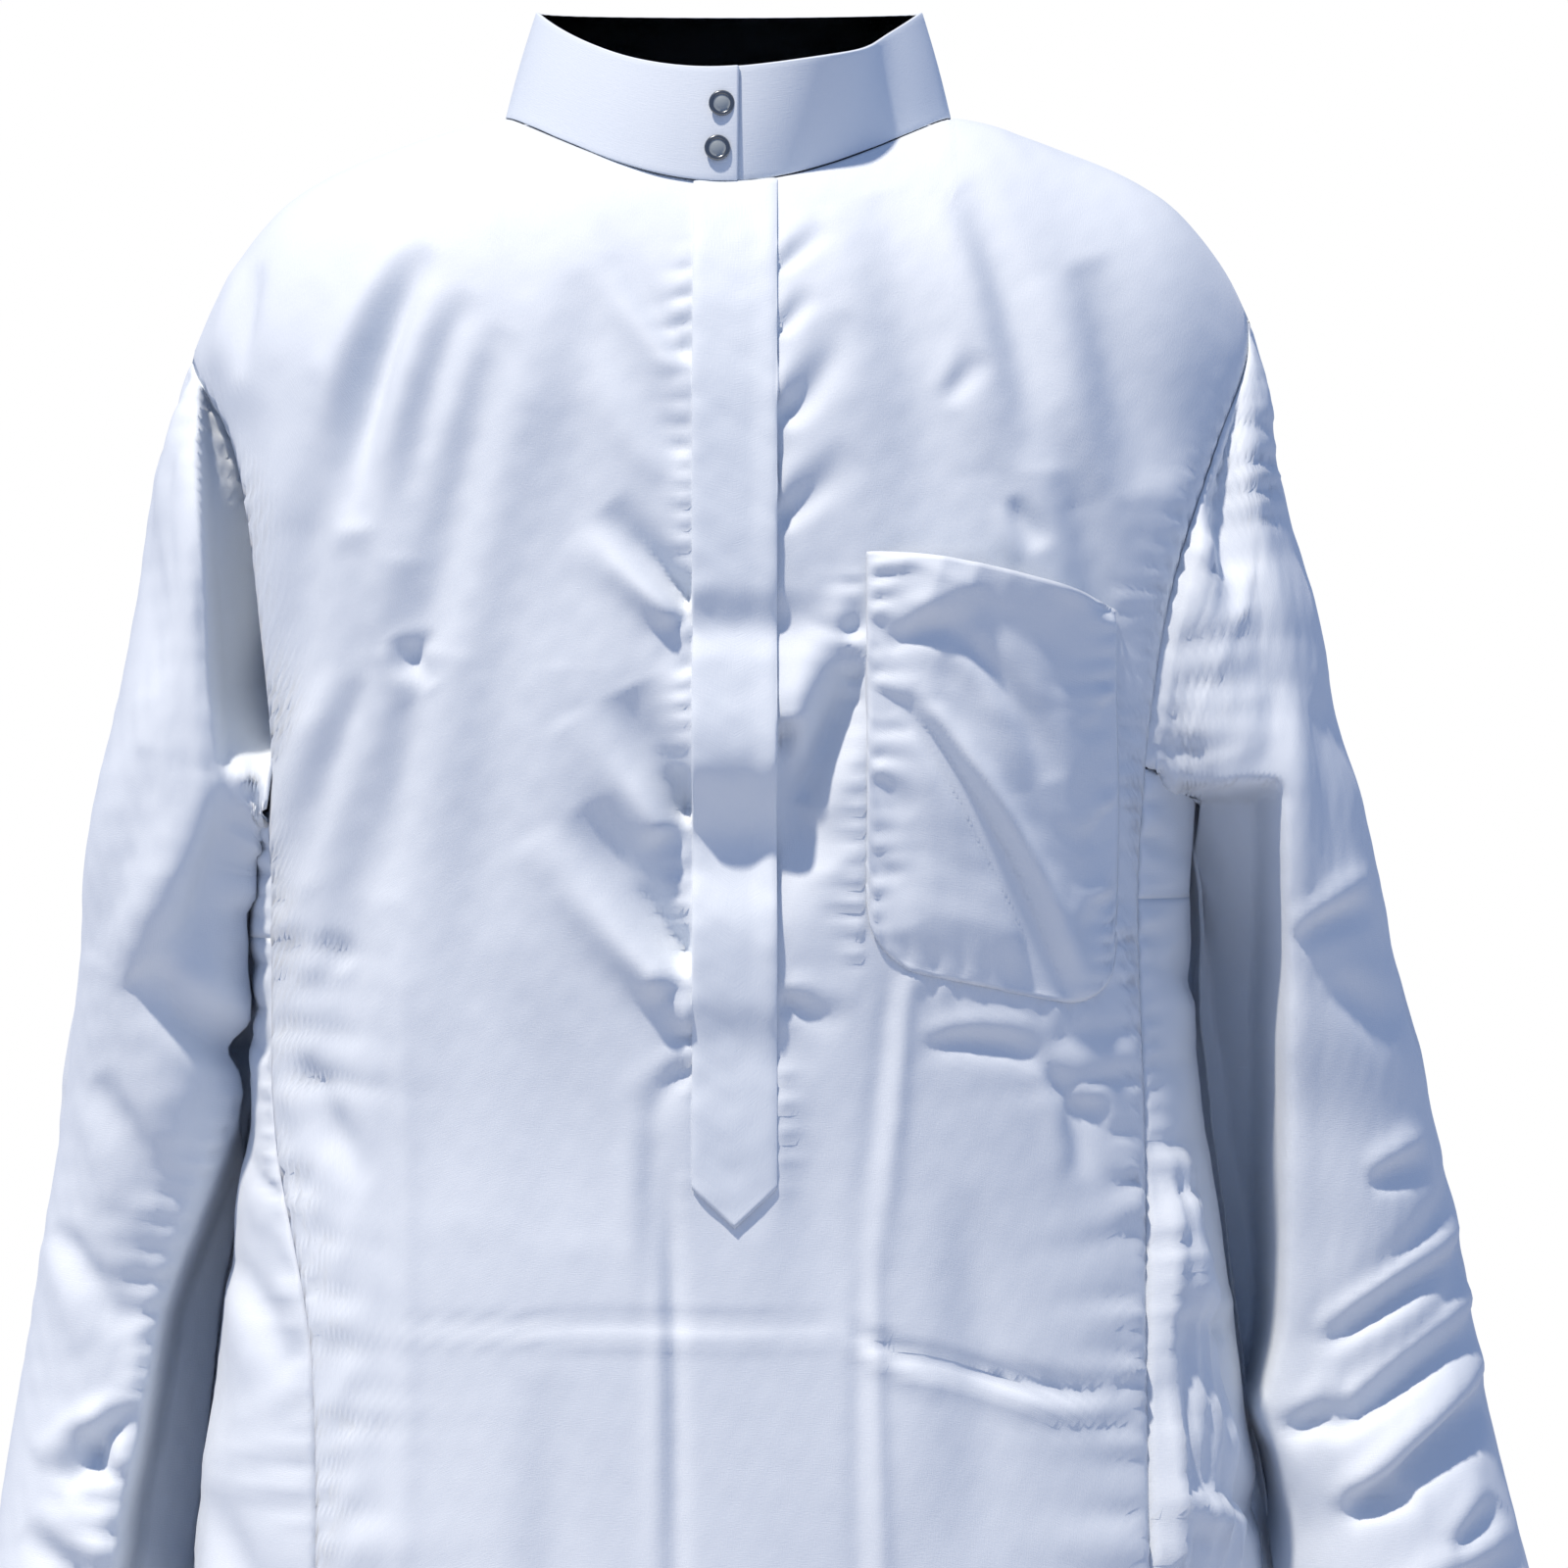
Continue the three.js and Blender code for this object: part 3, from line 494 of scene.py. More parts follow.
# %% Folds of the front
FRONT_FOLDS = [
    Fold(-12, -104, -48, -44, 2, 6, 4.6, 0.5, 1),
    Fold(-14, -142, -54, -66, 3, 9, 3.6, 0.5, 1),
    Fold(-11, -197, -46, -158, 0, 6.5, 14.0, 0.6, 1),
    Fold(-12, -202, -24, -196, 0, 3.5, 2.6, 0.4, 1),
    Fold(-12, -219, -27, -213, 0, 5, 3.2, 0.4, 1),
    Fold(-11, -278, -38, -228, 1, 9.5, 17.0, 0.6, 1),
    Fold(-11, -335, -54, -272, 2, 9.5, 18.0, 0.6, 1),
    Fold(-12, -345, -28, -337, 0, 4, 2.8, 0.4, 1),
    Fold(-12, -362, -24, -358, 0, 4, 3.0, 0.4, 1),
    Fold(-12, -371, -30, -394, -3, 5, 3.2, 0.5, 1),
    Fold(-27, -384, -18, -474, -3, 6, 2.8, 0.5),
    Fold(-21, -404, -19, -600, 1, 4, 2.4, 0.7),
    Fold(19, -67, 40, -49, 0, 4, 3.4, 0.5, 1),
    Fold(19, -92, 34, -75, 0, 4, 3.8, 0.5, 1),
    Fold(19, -126, 45, -84, -5, 6.5, 5.4, 0.6, 1),
    Fold(19, -165, 50, -138, 0, 6, 4.4, 0.6, 1),
    Fold(44, -209, 55, -199, 0, 5, 3.4, 0.4),
    Fold(19, -240, 40, -296, -3, 10, 19.0, 0.3, 1),
    Fold(31, -272, 54, -216, 3, 8, 16.0, 0.4),
    Fold(20, -346, 46, -357, 0, 5, 4.0, 0.5, 1),
    Fold(-115, -58, -145, -166, -8, 8, 10.0, 0.5),
    Fold(-99, -76, -125, -178, -4, 8, 6.0, 0.5),
    Fold(-86, -90, -110, -214, -2, 10, 5.2, 0.4),
    Fold(-160, -106, -161, -240, 0, 9, 5.0, 0.4),
    Fold(-128, -208, -114, -227, 0, 4.5, 2.8, 0.5),
    Fold(-114, -206, -128, -223, 0, 4, 2.2, 0.4),
    Fold(-142, -224, -163, -302, -2, 7, 4.6, 0.5),
    Fold(-120, -226, -134, -308, -1, 9, 4.0, 0.4),
    Fold(-184, -60, -192, -106, -1, 5, 4.0, 0.4),
    Fold(-157, -322, -149, -336, 0, 5, 2.6, 0.4),
    Fold(-167, -366, -139, -419, -2, 6, 4.0, 0.5),
    Fold(91, -32, 120, -144, 6, 9, 6.0, 0.4),
    Fold(138, -62, 166, -150, 2, 13, 7.5, 0.3),
    Fold(85, -118, 97, -100, 0, 4.5, 2.6, 0.4),
    Fold(108, -155, 119, -174, 0, 4.5, 2.8, 0.4),
    Fold(-142, -472, 56, -470, 1.5, 2.6, 1.6, -0.8),
    Fold(46, -472, 86, -486, -1, 3.4, 3.2, -0.7),
    Fold(76, -483, 146, -498, -1, 4.0, 3.6, -0.6),
    Fold(71, -296, 57, -450, 2, 4.0, -2.2, 0.6),
    Fold(57, -432, 62, -616, -2, 4.0, -2.2, 0.6),
    Fold(-125, -320, -124, -606, 2, 5, -1.8, 0.5),
    Fold(74, -365, 122, -371, 5, 4.5, 3.4, 0.5),
    Fold(120, -369, 137, -416, 5, 4.5, 3.4, 0.5),
    Fold(130, -387, 147, -391, 0, 4.5, 3.2, 0.5),
    Fold(-96, -100, -130, -340, -6, 12, 4.4, 0.4),
    Fold(-72, -120, -102, -430, -6, 15, 3.6, 0.4),
    Fold(-141, -168, -152, -430, 3, 10, 4.4, 0.4),
    Fold(58, -36, 80, -176, 3, 14, 4.0, 0.4),
    Fold(-48, -60, -60, -220, -4, 14, 3.2, 0.4),
    Fold(126, -120, 152, -262, 3, 9, 3.6, 0.4),
    Fold(-58, -240, -34, -300, 6, 14, 3.0, 0.4),
    Fold(-90, -330, -60, -440, 6, 16, 2.4, 0.4),
    Fold(30, -380, 44, -470, -4, 12, 2.6, 0.4),
    Fold(92, -420, 96, -560, 3, 12, 2.4, 0.4),
    Fold(-70, -490, -66, -640, 3, 12, 2.6, 0.4),
]
STRIP_WAVE = table("z out", (40, 0), (-60, 0), (-120, 1), (-188, 1), (-204, -3.6), (-218, 0.6),
                   (-254, 5.6), (-286, -9.0), (-318, 0.6), (-345, 1.6), (-364, -1.4), (-392, 0.8),
                   (-440, 0), (-600, 0))
STRIP_X, STRIP_HALF, STRIP_CORNER, STRIP_TIP, SLIT_END = 3.2, 16.2, -418.0, -433.0, -361.0
PUFF_X, PUFF_Z, PUFF_WIDE, PUFF_HIGH, PUFF_OUT = 98, -250, 44, 80, 7
POCKET_LEFT, POCKET_RIGHT, POCKET_ROUND = 53.0, 149.0, 22.0

def strip_low(x):
    return lerp(STRIP_TIP, STRIP_CORNER, np.clip(np.abs(x - STRIP_X) / STRIP_HALF, 0, 1))

def pocket_top(x):
    return lerp(-176, -197, np.clip((x - POCKET_LEFT) / (POCKET_RIGHT - POCKET_LEFT), 0, 1) ** 1.6)

def pocket_low(x):
    share = np.clip((x - POCKET_LEFT) / (POCKET_RIGHT - POCKET_LEFT), 0, 1)
    edge = np.clip(np.minimum(x - POCKET_LEFT, POCKET_RIGHT - x), 0, POCKET_ROUND)
    corner = POCKET_ROUND - np.sqrt(POCKET_ROUND**2 - (POCKET_ROUND - edge) ** 2)
    return lerp(-332, -352, share) + corner

def front_height(x, z, edge):
    beside = np.abs(x - STRIP_X) - STRIP_HALF
    near_strip = smooth(-beside, -24, 1) * smooth(z, -470, -425)
    free = 1 - smooth(-beside, -1.5, 0.5) * smooth(z, -440, -425)
    high = fold_height(x, z, FRONT_FOLDS)
    high += unevenness(x, z, 11, 0.7, 60, 150) * smooth(edge, 0, 30)
    high += unevenness(x, z, 12, 0.10, 9, 24) * smooth(edge, 0, 8)
    in_pocket = (smooth(x, POCKET_LEFT - 2, POCKET_LEFT + 2) * smooth(-x, -POCKET_RIGHT - 2, 2 - POCKET_RIGHT)
                 * smooth(pocket_top(x) - z, 0, 8) * smooth(z - pocket_low(x), -2, 3))
    high *= free * (1 - 0.9 * in_pocket)
    high += read(STRIP_WAVE, "z", z, "out") * near_strip
    high += PUFF_OUT * bell((x - PUFF_X) / PUFF_WIDE) * bell((z - PUFF_Z) / PUFF_HIGH)
    left = np.maximum(STRIP_X - STRIP_HALF - x, 0)
    high += pucker(z, left, 21, 9.5, 2.8, 2.4) * (x < STRIP_X) * smooth(z, -432, -415) * smooth(-z, 40, 50)
    right = np.maximum(x - STRIP_X - STRIP_HALF, 0)
    high += pucker(z, right, 22, 10, 2.8, 2.0) * (x > STRIP_X) * smooth(z, -425, -412) * smooth(-z, 360, 372)
    out_left, out_right = np.maximum(POCKET_LEFT - x, 0), np.maximum(x - POCKET_RIGHT, 0)
    beside_pocket = smooth(-z, 180, 190) * smooth(z, -345, -330)
    high += pucker(z, out_left, 23, 9, 3.4, 2.6) * (x < POCKET_LEFT) * beside_pocket
    high += pucker(z, out_right, 24, 9, 3, 1.8) * (x > POCKET_RIGHT) * beside_pocket
    below = np.maximum(pocket_low(x) - z, 0)
    inside = smooth(x, POCKET_LEFT, POCKET_LEFT + 8) * smooth(-x, -POCKET_RIGHT, 8 - POCKET_RIGHT)
    high += pucker(x, below, 25, 10, 3, 1.8) * inside * (below > 0)
    return high

print(len(FRONT_FOLDS), "folds")

# %% [markdown]
# ## Making the front
# The heights of all the folds are added up and the grid is pushed out by the sum. on_front gives the same
# surface to the placket and the pocket, so that they lie on the folds. The slit is cut from the grid.

# %% Front panel
SLIT_FROM, SLIT_TO = 8.6, 12

def panel_normals(way, across, row):
    step = 0.004
    wide = panel_point(way, np.minimum(across + step, 0.999), row) - panel_point(way, across - step, row)
    down = panel_point(way, across, row + 0.03) - panel_point(way, across, np.maximum(row - 0.03, 0))
    n = -way * np.cross(down, wide)
    return n / np.maximum(np.linalg.norm(n, axis=-1, keepdims=True), 1e-9)

def on_front(x, z, out):
    x, z = np.broadcast_arrays(np.asarray(x, float), np.asarray(z, float))
    across, row = row_of(-1, x, z)
    row = np.maximum(row, 0)
    p = panel_point(-1, across, row)
    n = panel_normals(-1, across, row)
    high = front_height(x, z, 60.0)
    return p + n * (high + out)[..., None]

across, row = np.meshgrid(np.linspace(-1, 1, 166), panel_rows(60, 160, 60))
base = panel_point(-1, across, row)
x, z = across * half_width("seam", across, base[..., 2]), base[..., 2]
edge = (1 - np.abs(across)) * half_width("seam", across, z)
high = front_height(x, z, edge)
hanging = smooth(-z, 90, 120)
high += pucker(z, edge, 31, 9, 3.6, 3.4) * (across < 0) * hanging
high += pucker(z, edge, 32, 9, 3.6, 3.2) * (across > 0) * hanging
high += pucker(z, edge, 33, 19, 11, 3.0) * smooth(-z, 280, 340)
crushed = smooth(-z, 280, 340) * bell((edge - 14) / 12) * smooth(edge, 0, 7)
high += crumple(x, z, 34, 0.8, 22) * crushed * (across < 0)
high -= groove(edge)
high *= smooth(row, 0, 0.6)
front_points = base + panel_normals(-1, across, row) * high[..., None]
cell_x, cell_z = (x[:-1, :-1] + x[:-1, 1:]) / 2, (z[:-1, :-1] + z[1:, :-1]) / 2
slit = (cell_x > SLIT_FROM) & (cell_x < SLIT_TO) & (cell_z > SLIT_END)
front = cloth("front", front_points, flat=(0.43, 1.42), gone=slit)
dress(front, CLOTH, "front_panel")

# %% [markdown]
# ## Back panel
# The back has the same kind of folds: long soft ones down from the waist and the shoulder blades, shorter
# ones across the small of the back, and the same pressed line.

# %% Back panel
BACK_FOLDS = [
    Fold(-118, -420, -134, -1160, 5, 15, 5.0, 0.6),
    Fold(-62, -520, -70, -1240, -4, 18, 4.4, 0.6),
    Fold(8, -460, 2, -1100, 4, 16, 4.0, 0.5),
    Fold(70, -560, 84, -1270, 5, 17, 4.8, 0.6),
    Fold(122, -400, 138, -1040, -4, 14, 4.6, 0.6),
    Fold(-96, -100, -74, -330, 6, 13, 4.2, 0.5),
    Fold(98, -96, 72, -318, -6, 13, 4.4, 0.5),
    Fold(-30, -250, 44, -262, -5, 8, 2.6, 0.5),
    Fold(-150, -70, -128, -190, 5, 9, 4.2, 0.5),
    Fold(-120, -64, -108, -170, 3, 8, 2.8, 0.4),
    Fold(146, -66, 122, -196, -5, 10, 4.6, -0.5),
    Fold(108, -80, 96, -178, -3, 8, 2.6, -0.4),
    Fold(-60, -120, -30, -240, 4, 10, 2.2, 0.4),
    Fold(58, -130, 24, -262, -4, 10, 2.4, 0.4),
    Fold(-140, -300, -70, -352, -5, 7, 3.2, 0.5),
    Fold(-128, -342, -58, -384, -4, 6, 2.6, 0.5),
    Fold(138, -296, 62, -346, 5, 7, 3.0, -0.5),
    Fold(130, -340, 70, -372, 4, 6, 2.2, -0.5),
    Fold(-40, -330, 52, -344, 4, 8, 2.0, 0.4),
    Fold(-138, -471, 140, -474, 2, 2.0, 0.9, -0.8),
    Fold(2, -280, -1, -620, 2, 3.0, -1.0, 0.6),
    Fold(-96, -400, -90, -640, -3, 12, 2.6, 0.4),
    Fold(92, -410, 98, -650, 3, 12, 2.8, 0.4),
]
across, row = np.meshgrid(np.linspace(1, -1, 105), panel_rows(36, 84, 44))
base = panel_point(1, across, row)
x, z = across * half_width("seam", across, base[..., 2]), base[..., 2]
edge = (1 - np.abs(across)) * half_width("seam", across, z)
high = fold_height(x, z, BACK_FOLDS) + unevenness(x, z, 41, 0.9, 70, 160) * smooth(edge, 0, 30)
high += unevenness(x, z, 42, 0.10, 12, 28) * smooth(edge, 0, 8)
hanging = smooth(-z, 90, 120)
high += pucker(z, edge, 43, 11, 5, 2.6) * hanging - groove(edge)
high *= smooth(row, 0, 0.6)
back = cloth("back", base + panel_normals(1, across, row) * high[..., None], flat=(0.43, 1.45))
dress(back, CLOTH, "back_panel")

# %% [markdown]
# ## Sides
# A gusset fills the underarm, and a gore runs from it to the hem. On the wearer's left the top of the gore is
# bunched up under the elbow, which gives the bright fold beside the waist.

# %% Gussets and gores
GORE_FOLDS = {
    1: [Fold(196, -478, 172, -470, 0, 5, 4.0, 0.6, 1), Fold(214, -556, 176, -520, 2, 7, 4.5, 0.5),
        Fold(190, -350, 172, -330, 0, 6, 2.5, 0.5), Fold(204, -620, 180, -760, 4, 10, 3, 0.4)],
    -1: [Fold(-186, -350, -172, -398, 2, 6, 3.0, 0.5), Fold(-196, -450, -170, -492, 3, 7, 3.4, 0.5),
         Fold(-204, -540, -172, -620, 3, 9, 3.4, 0.5)],
}

BUNCH_UPPER, BUNCH_LOWER = -448, -535

def side_strip(name, hand, top, bottom, rows, columns, flat, node):
    share = np.linspace(0, 1, columns + 1)
    if hand < 0:
        share = share[::-1]
    place = np.linspace(top, bottom, rows + 1)
    share, place = np.meshgrid(share, place)
    base = side_point(hand, share, edge_z(hand, place))
    x, y, z = base[..., 0], base[..., 1], base[..., 2]
    wide = np.linalg.norm(np.diff(base, axis=1), axis=-1)
    run = np.concatenate([np.zeros((rows + 1, 1)), np.cumsum(wide, 1)], 1)
    edge = np.minimum(run, run[:, -1:] - run)
    high = fold_height(x, z, GORE_FOLDS[hand]) * smooth(edge, 0, 8)
    high += unevenness(y * 1.3, z, 50 + hand, 1.0, 50, 130) * smooth(edge, 0, 25)
    high += unevenness(y, z, 53 + hand, 0.12, 10, 24) * smooth(edge, 0, 8)
    seed = 55 + 2 * hand
    high += pucker(z, edge, seed, 11, 6, 2.8) + pucker(z, edge, seed + 30, 25, 13, 2.6)
    high -= groove(edge)
    if hand > 0:
        lump = bell((z - BUNCH_UPPER) / 36) + 0.8 * bell((z - BUNCH_LOWER) / 38)
        ahead = smooth(-y, 42, 62) * smooth(edge, 0, 9)
        high += (12 * lump + crumple(y * 1.6 + x, z, 58, 2.4, 24) * smooth(-z, 405, 425)) * ahead
    piece = cloth(name, base + normals_of(base) * high[..., None], flat=flat)
    return dress(piece, CLOTH, node)

gores, gussets = {}, {}
for hand, word in ((1, "left"), (-1, "right")):
    gussets[hand] = side_strip("gusset_" + word, hand, GUSSET_TOP, GUSSET_LOW, 24, 64, (0.2, 0.06),
                               "underarm_gusset_" + word)
    gores[hand] = side_strip("gore_" + word, hand, GUSSET_LOW, len(ROWS) - 1, 190, 60, (0.32, 1.12),
                             "side_gore_" + word)
print("side pieces:", len(gores) + len(gussets))

# %% [markdown]
# ## Sleeves
# Each sleeve starts at the armhole and settles into a hanging tube. Beside the armhole it sinks into a deep
# trough, and at the elbow it breaks into a fold with its seam running along the edge.

# %% Sleeve form
SLEEVE_SHAPE = {
    1: table("z at fall high spread out", (-160, 84, 0, 66, 24, -17), (-450, 60, 26, 9, 46, -4),
             (-485, 66, 26, 9, 48, -5), (-525, 58, 24, 10, 50, -5), (-420, 250, -20, 14, 44, -7)),
    -1: table("z at fall high spread out", (-160, 96, 0, 70, 26, -19), (-150, 4, 0, 40, 40, 3),
              (-395, 98, 0, 28, 26, 8), (-470, 100, 0, 24, 26, -8), (-450, 250, -20, 14, 44, -7)),
}
SLEEVE_COLUMNS, CAP_ROWS, ARM_ROWS, CAP_END, CLEAR = 21, 6, 11, -300.0, 5.0
ARM_MIDDLE = 222

# How far out the body reaches at a point beside it, which the sleeve must clear.
def flank(hand, y, z):
    beside = np.maximum(0, 1 - np.abs(y / depth(y, z)) ** OVAL)
    return half_width("side", hand, z) * beside ** (1 / OVAL)

def ring_point(hand, share, z):
    side = "L" if hand > 0 else "R"
    out, inner = read(SLEEVE, "z", z, "out" + side), read(SLEEVE, "z", z, "in" + side)
    turn = share * 2 * math.pi
    middle = (out + inner) / 2
    oval = middle + (out - inner) / 2 * np.cos(turn)
    y = read(SLEEVE, "z", z, "behind" + side) - read(SLEEVE, "z", z, "deep") * np.sin(turn)
    tilt = np.tan(np.radians(read(SLEEVE, "z", z, "tilt")))
    return np.stack([hand * oval, y, z + (oval - middle) * tilt], -1)

# The armhole runs down the front panel's edge, under the arm and up the back panel's edge.
def armhole(hand, step):
    last = SLEEVE_COLUMNS
    on_front_edge = panel_point(-1, float(hand), np.minimum(step, ARM_STEPS))
    on_back_edge = panel_point(1, float(hand), np.minimum(last - step, ARM_STEPS))
    share = np.clip((step - ARM_STEPS) / SIDE_STEPS, 0, 1)
    under = side_point(hand, share, edge_z(hand, float(GUSSET_TOP)) + 0 * share)
    first = (step <= ARM_STEPS)[..., None]
    final = (step >= ARM_STEPS + SIDE_STEPS)[..., None]
    return np.where(first, on_front_edge, np.where(final, on_back_edge, under))

def arm_normal(hand, step):
    last = SLEEVE_COLUMNS
    before = panel_normals(-1, hand * 0.985 + 0 * step, np.minimum(step, ARM_STEPS))
    after = panel_normals(1, hand * 0.985 + 0 * step, np.minimum(last - step, ARM_STEPS))
    beside = np.stack([hand + 0 * step, 0 * step, 0 * step], -1)
    toward_under = smooth(step, ARM_STEPS - 1, ARM_STEPS + 1) * smooth(-step, -ARM_STEPS - 6, -ARM_STEPS - 4)
    n = np.where((step < last / 2)[..., None], before, after)
    n = n + (beside - n) * toward_under[..., None]
    return n / np.linalg.norm(n, axis=-1, keepdims=True)

def sleeve_form(hand, share, row):
    step = share * SLEEVE_COLUMNS
    cap = np.minimum(1, row / CAP_ROWS)
    start = armhole(hand, step)
    fall = lerp(CAP_END, CUFF, np.maximum(0, (row - CAP_ROWS) / ARM_ROWS))
    tube = ring_point(hand, share, np.where(cap < 1, lerp(start[..., 2], CAP_END, cap), fall))
    p = start + (tube - start) * (1 - (1 - cap) ** 2)[..., None]
    low = edge_z(hand, float(GUSSET_TOP))
    reach = flank(hand, p[..., 1], p[..., 2]) + lerp(0.9, CLEAR, cap)
    p[..., 0] = np.where(p[..., 2] < low + 1, hand * np.maximum(hand * p[..., 0], reach), p[..., 0])
    away = p - np.stack([0 * cap + hand * ARM_MIDDLE, 0 * cap, p[..., 2]], -1)
    away /= np.maximum(np.linalg.norm(away, axis=-1, keepdims=True), 1e-9)
    shape = SLEEVE_SHAPE[hand]
    for fz, at, slope, tall, broad, out in zip(*shape.values()):
        around = (share * 360 - at) / broad
        up = (p[..., 2] - fz + slope * around) / tall
        p = p + away * (out * bell(up) * bell(around) * smooth(cap, 0, 0.4))[..., None]
    return p

print("cuff at", CUFF, "mm")

# %% [markdown]
# ## Folds of the sleeves
# Folds in front and behind are placed like those of the front panel. Two larger shapes are too deep for
# them. STEP_LINE is the edge of the outer sleeve, behind which its inner side falls away, and TROUGH is the
# channel beside the wearer's right armhole. Both push the cloth straight back.

# %% Sleeve folds
SLEEVE_FOLDS = {
    -1: [
        Fold(-184, -374, -230, -336, 3, 8, 10.0, 0.5),
        Fold(-190, -262, -220, -346, 4, 9, 8.0, 0.5),
        Fold(-234, -510, -264, -542, 0, 6, 8.0, 0.5),
        Fold(-238, -542, -262, -518, 0, 5, 5.0, 0.4),
        Fold(-240, -120, -226, -230, 4, 8, 3.4, 0.5),
        Fold(-226, -250, -248, -334, 3, 9, 4.0, 0.5),
        Fold(-250, -380, -226, -430, 3, 8, 4.0, 0.5),
        Fold(-268, -440, -240, -482, 3, 7, 4.4, 0.5),
        Fold(-280, -560, -236, -600, 3, 8, 6.0, 0.5),
        Fold(-288, -620, -246, -650, 3, 8, 5.6, 0.5),
    ],
    1: [
        Fold(188, -94, 185, -170, 1, 5, 10.0, 0.4),
        Fold(199, -112, 194, -200, -2, 5, 9.0, 0.5),
        Fold(221, -326, 255, -311, 1, 5, 4.4, 0.6),
        Fold(250, -421, 278, -413, 1, 5, 4.0, 0.6),
        Fold(232, -484, 298, -449, 3, 5, 6.0, 0.7),
        Fold(234, -520, 306, -474, 3, 5.5, 6.6, 0.7),
        Fold(240, -552, 316, -502, 3, 6, 7.0, 0.7),
        Fold(219, -518, 245, -506, 0, 5, 4.4, 0.5),
        Fold(242, -545, 268, -540, 0, 5, 4.4, 0.5),
        Fold(282, -564, 304, -547, 0, 5, 4.4, 0.5),
        Fold(216, -120, 232, -220, -4, 9, 3.2, 0.5),
        Fold(232, -230, 244, -300, -3, 8, 3.0, 0.4),
        Fold(236, -340, 264, -362, 0, 8, 3.0, 0.4),
        Fold(258, -592, 314, -570, 2, 7, 5.0, 0.5),
        Fold(262, -642, 322, -610, 2, 8, 4.6, 0.5),
    ],
}
BEHIND_FOLDS = {
    -1: [Fold(-200, -360, -262, -400, 3, 8, 4.0, 0.5), Fold(-204, -410, -270, -446, 3, 7, 4.0, 0.5),
         Fold(-214, -470, -276, -496, 3, 7, 3.4, 0.5), Fold(-232, -130, -216, -240, 4, 9, 3.0, 0.4),
         Fold(-240, -560, -292, -590, 3, 8, 3.4, 0.5)],
    1: [Fold(204, -356, 262, -396, -3, 8, 4.0, -0.5), Fold(206, -406, 274, -440, -3, 7, 4.0, -0.5),
        Fold(222, -470, 290, -500, -3, 7, 3.4, -0.5), Fold(226, -130, 214, -240, -4, 9, 3.0, -0.4),
        Fold(246, -560, 310, -590, -3, 8, 3.4, -0.5)],
}
STEP_LINE = {
    -1: table("z x", (-366, -180), (-380, -187), (-425, -205), (-452, -216), (-476, -224), (-522, -232),
              (-560, -240), (-640, -252)),
    1: table("z x", (-260, 213), (-300, 215), (-360, 217), (-470, 217), (-500, 212), (-512, 209), (-530, 216),
             (-600, 224)),
}
TROUGH = table("z edge seam deep", (-92, -210, -200, 0), (-104, -209, -197, 20), (-125, -207, -191, 38),
               (-160, -205, -183, 58), (-200, -203, -179, 76), (-226, -202, -176, 84), (-243, -200, -175, 58),
               (-262, -199, -174, 6), (-302, -196, -174, 0))

ARMHOLE_LONG = 336

# facing is 1 at the front of the sleeve and -1 at its back. run is the distance from the armhole.
def sleeve_height(hand, x, z, share, run):
    facing = np.sin(share * 2 * math.pi)
    before, behind = smooth(facing, -0.1, 0.25), smooth(-facing, -0.1, 0.25)
    high = fold_height(x, z, SLEEVE_FOLDS[hand]) * before + fold_height(x, z, BEHIND_FOLDS[hand]) * behind
    high *= smooth(run, 0, 5)
    inward = (read(STEP_LINE[hand], "z", z, "x") - x) * hand
    if hand < 0:
        edge = read(TROUGH, "z", z, "edge")
        high += 2.2 * bell((x - edge + 5) / 5) * before * smooth(-z, 100, 130) * smooth(z, -290, -260)
        lump = smooth(-z, 246, 262) * smooth(z, -316, -304) * bell((x + 187) / 9)
        high += (9 * lump + crumple(x, z, 67, 1.8, 15) * bell((x + 186) / 12) * lump) * before
        flap = smooth(-z, 372, 392) * smooth(z, -640, -600)
        high += pucker(z, np.maximum(-inward, 0), 69, 10, 6, 2.6) * (inward < 0) * flap * before
        high += 2.0 * bell((inward + 7) / 5) * flap * before
    else:
        lump = smooth(-z, 168, 196) * smooth(z, -271, -264) * bell((x - 190) / 17)
        high += (7 * lump + crumple(x, z, 68, 1.0, 19) * smooth(lump, 0.1, 0.5)) * before * smooth(run, 0, 6)
        face = smooth(-z, 200, 250) * smooth(z, -560, -520)
        high += 2.0 * bell((inward + 6) / 6) * face * before
    beside = np.maximum(np.abs(x) - half_width("seam", hand, z), 0)
    upper = smooth(-z, 96, 125) * smooth(z, -266, -258) * (np.abs(facing) > 0.2)
    drawn = pucker(z, beside, 61 + hand, 9.5, 4, 4.0) + pucker(z, beside, 71 + hand, 17, 13, 3.4) * (hand > 0)
    high += drawn * upper
    high += pucker(ARMHOLE_LONG * share, run, 75 + hand, 26, 14, 2.6) * smooth(run, 0, 6)
    high += unevenness(z, 150 * share + 0 * z, 63 + hand, 1.2, 50, 120) * smooth(run, 0, 30)
    high += unevenness(z, 300 * np.cos(share * 6.28), 66 + hand, 0.14, 10, 26) * smooth(run, 0, 8)
    return high

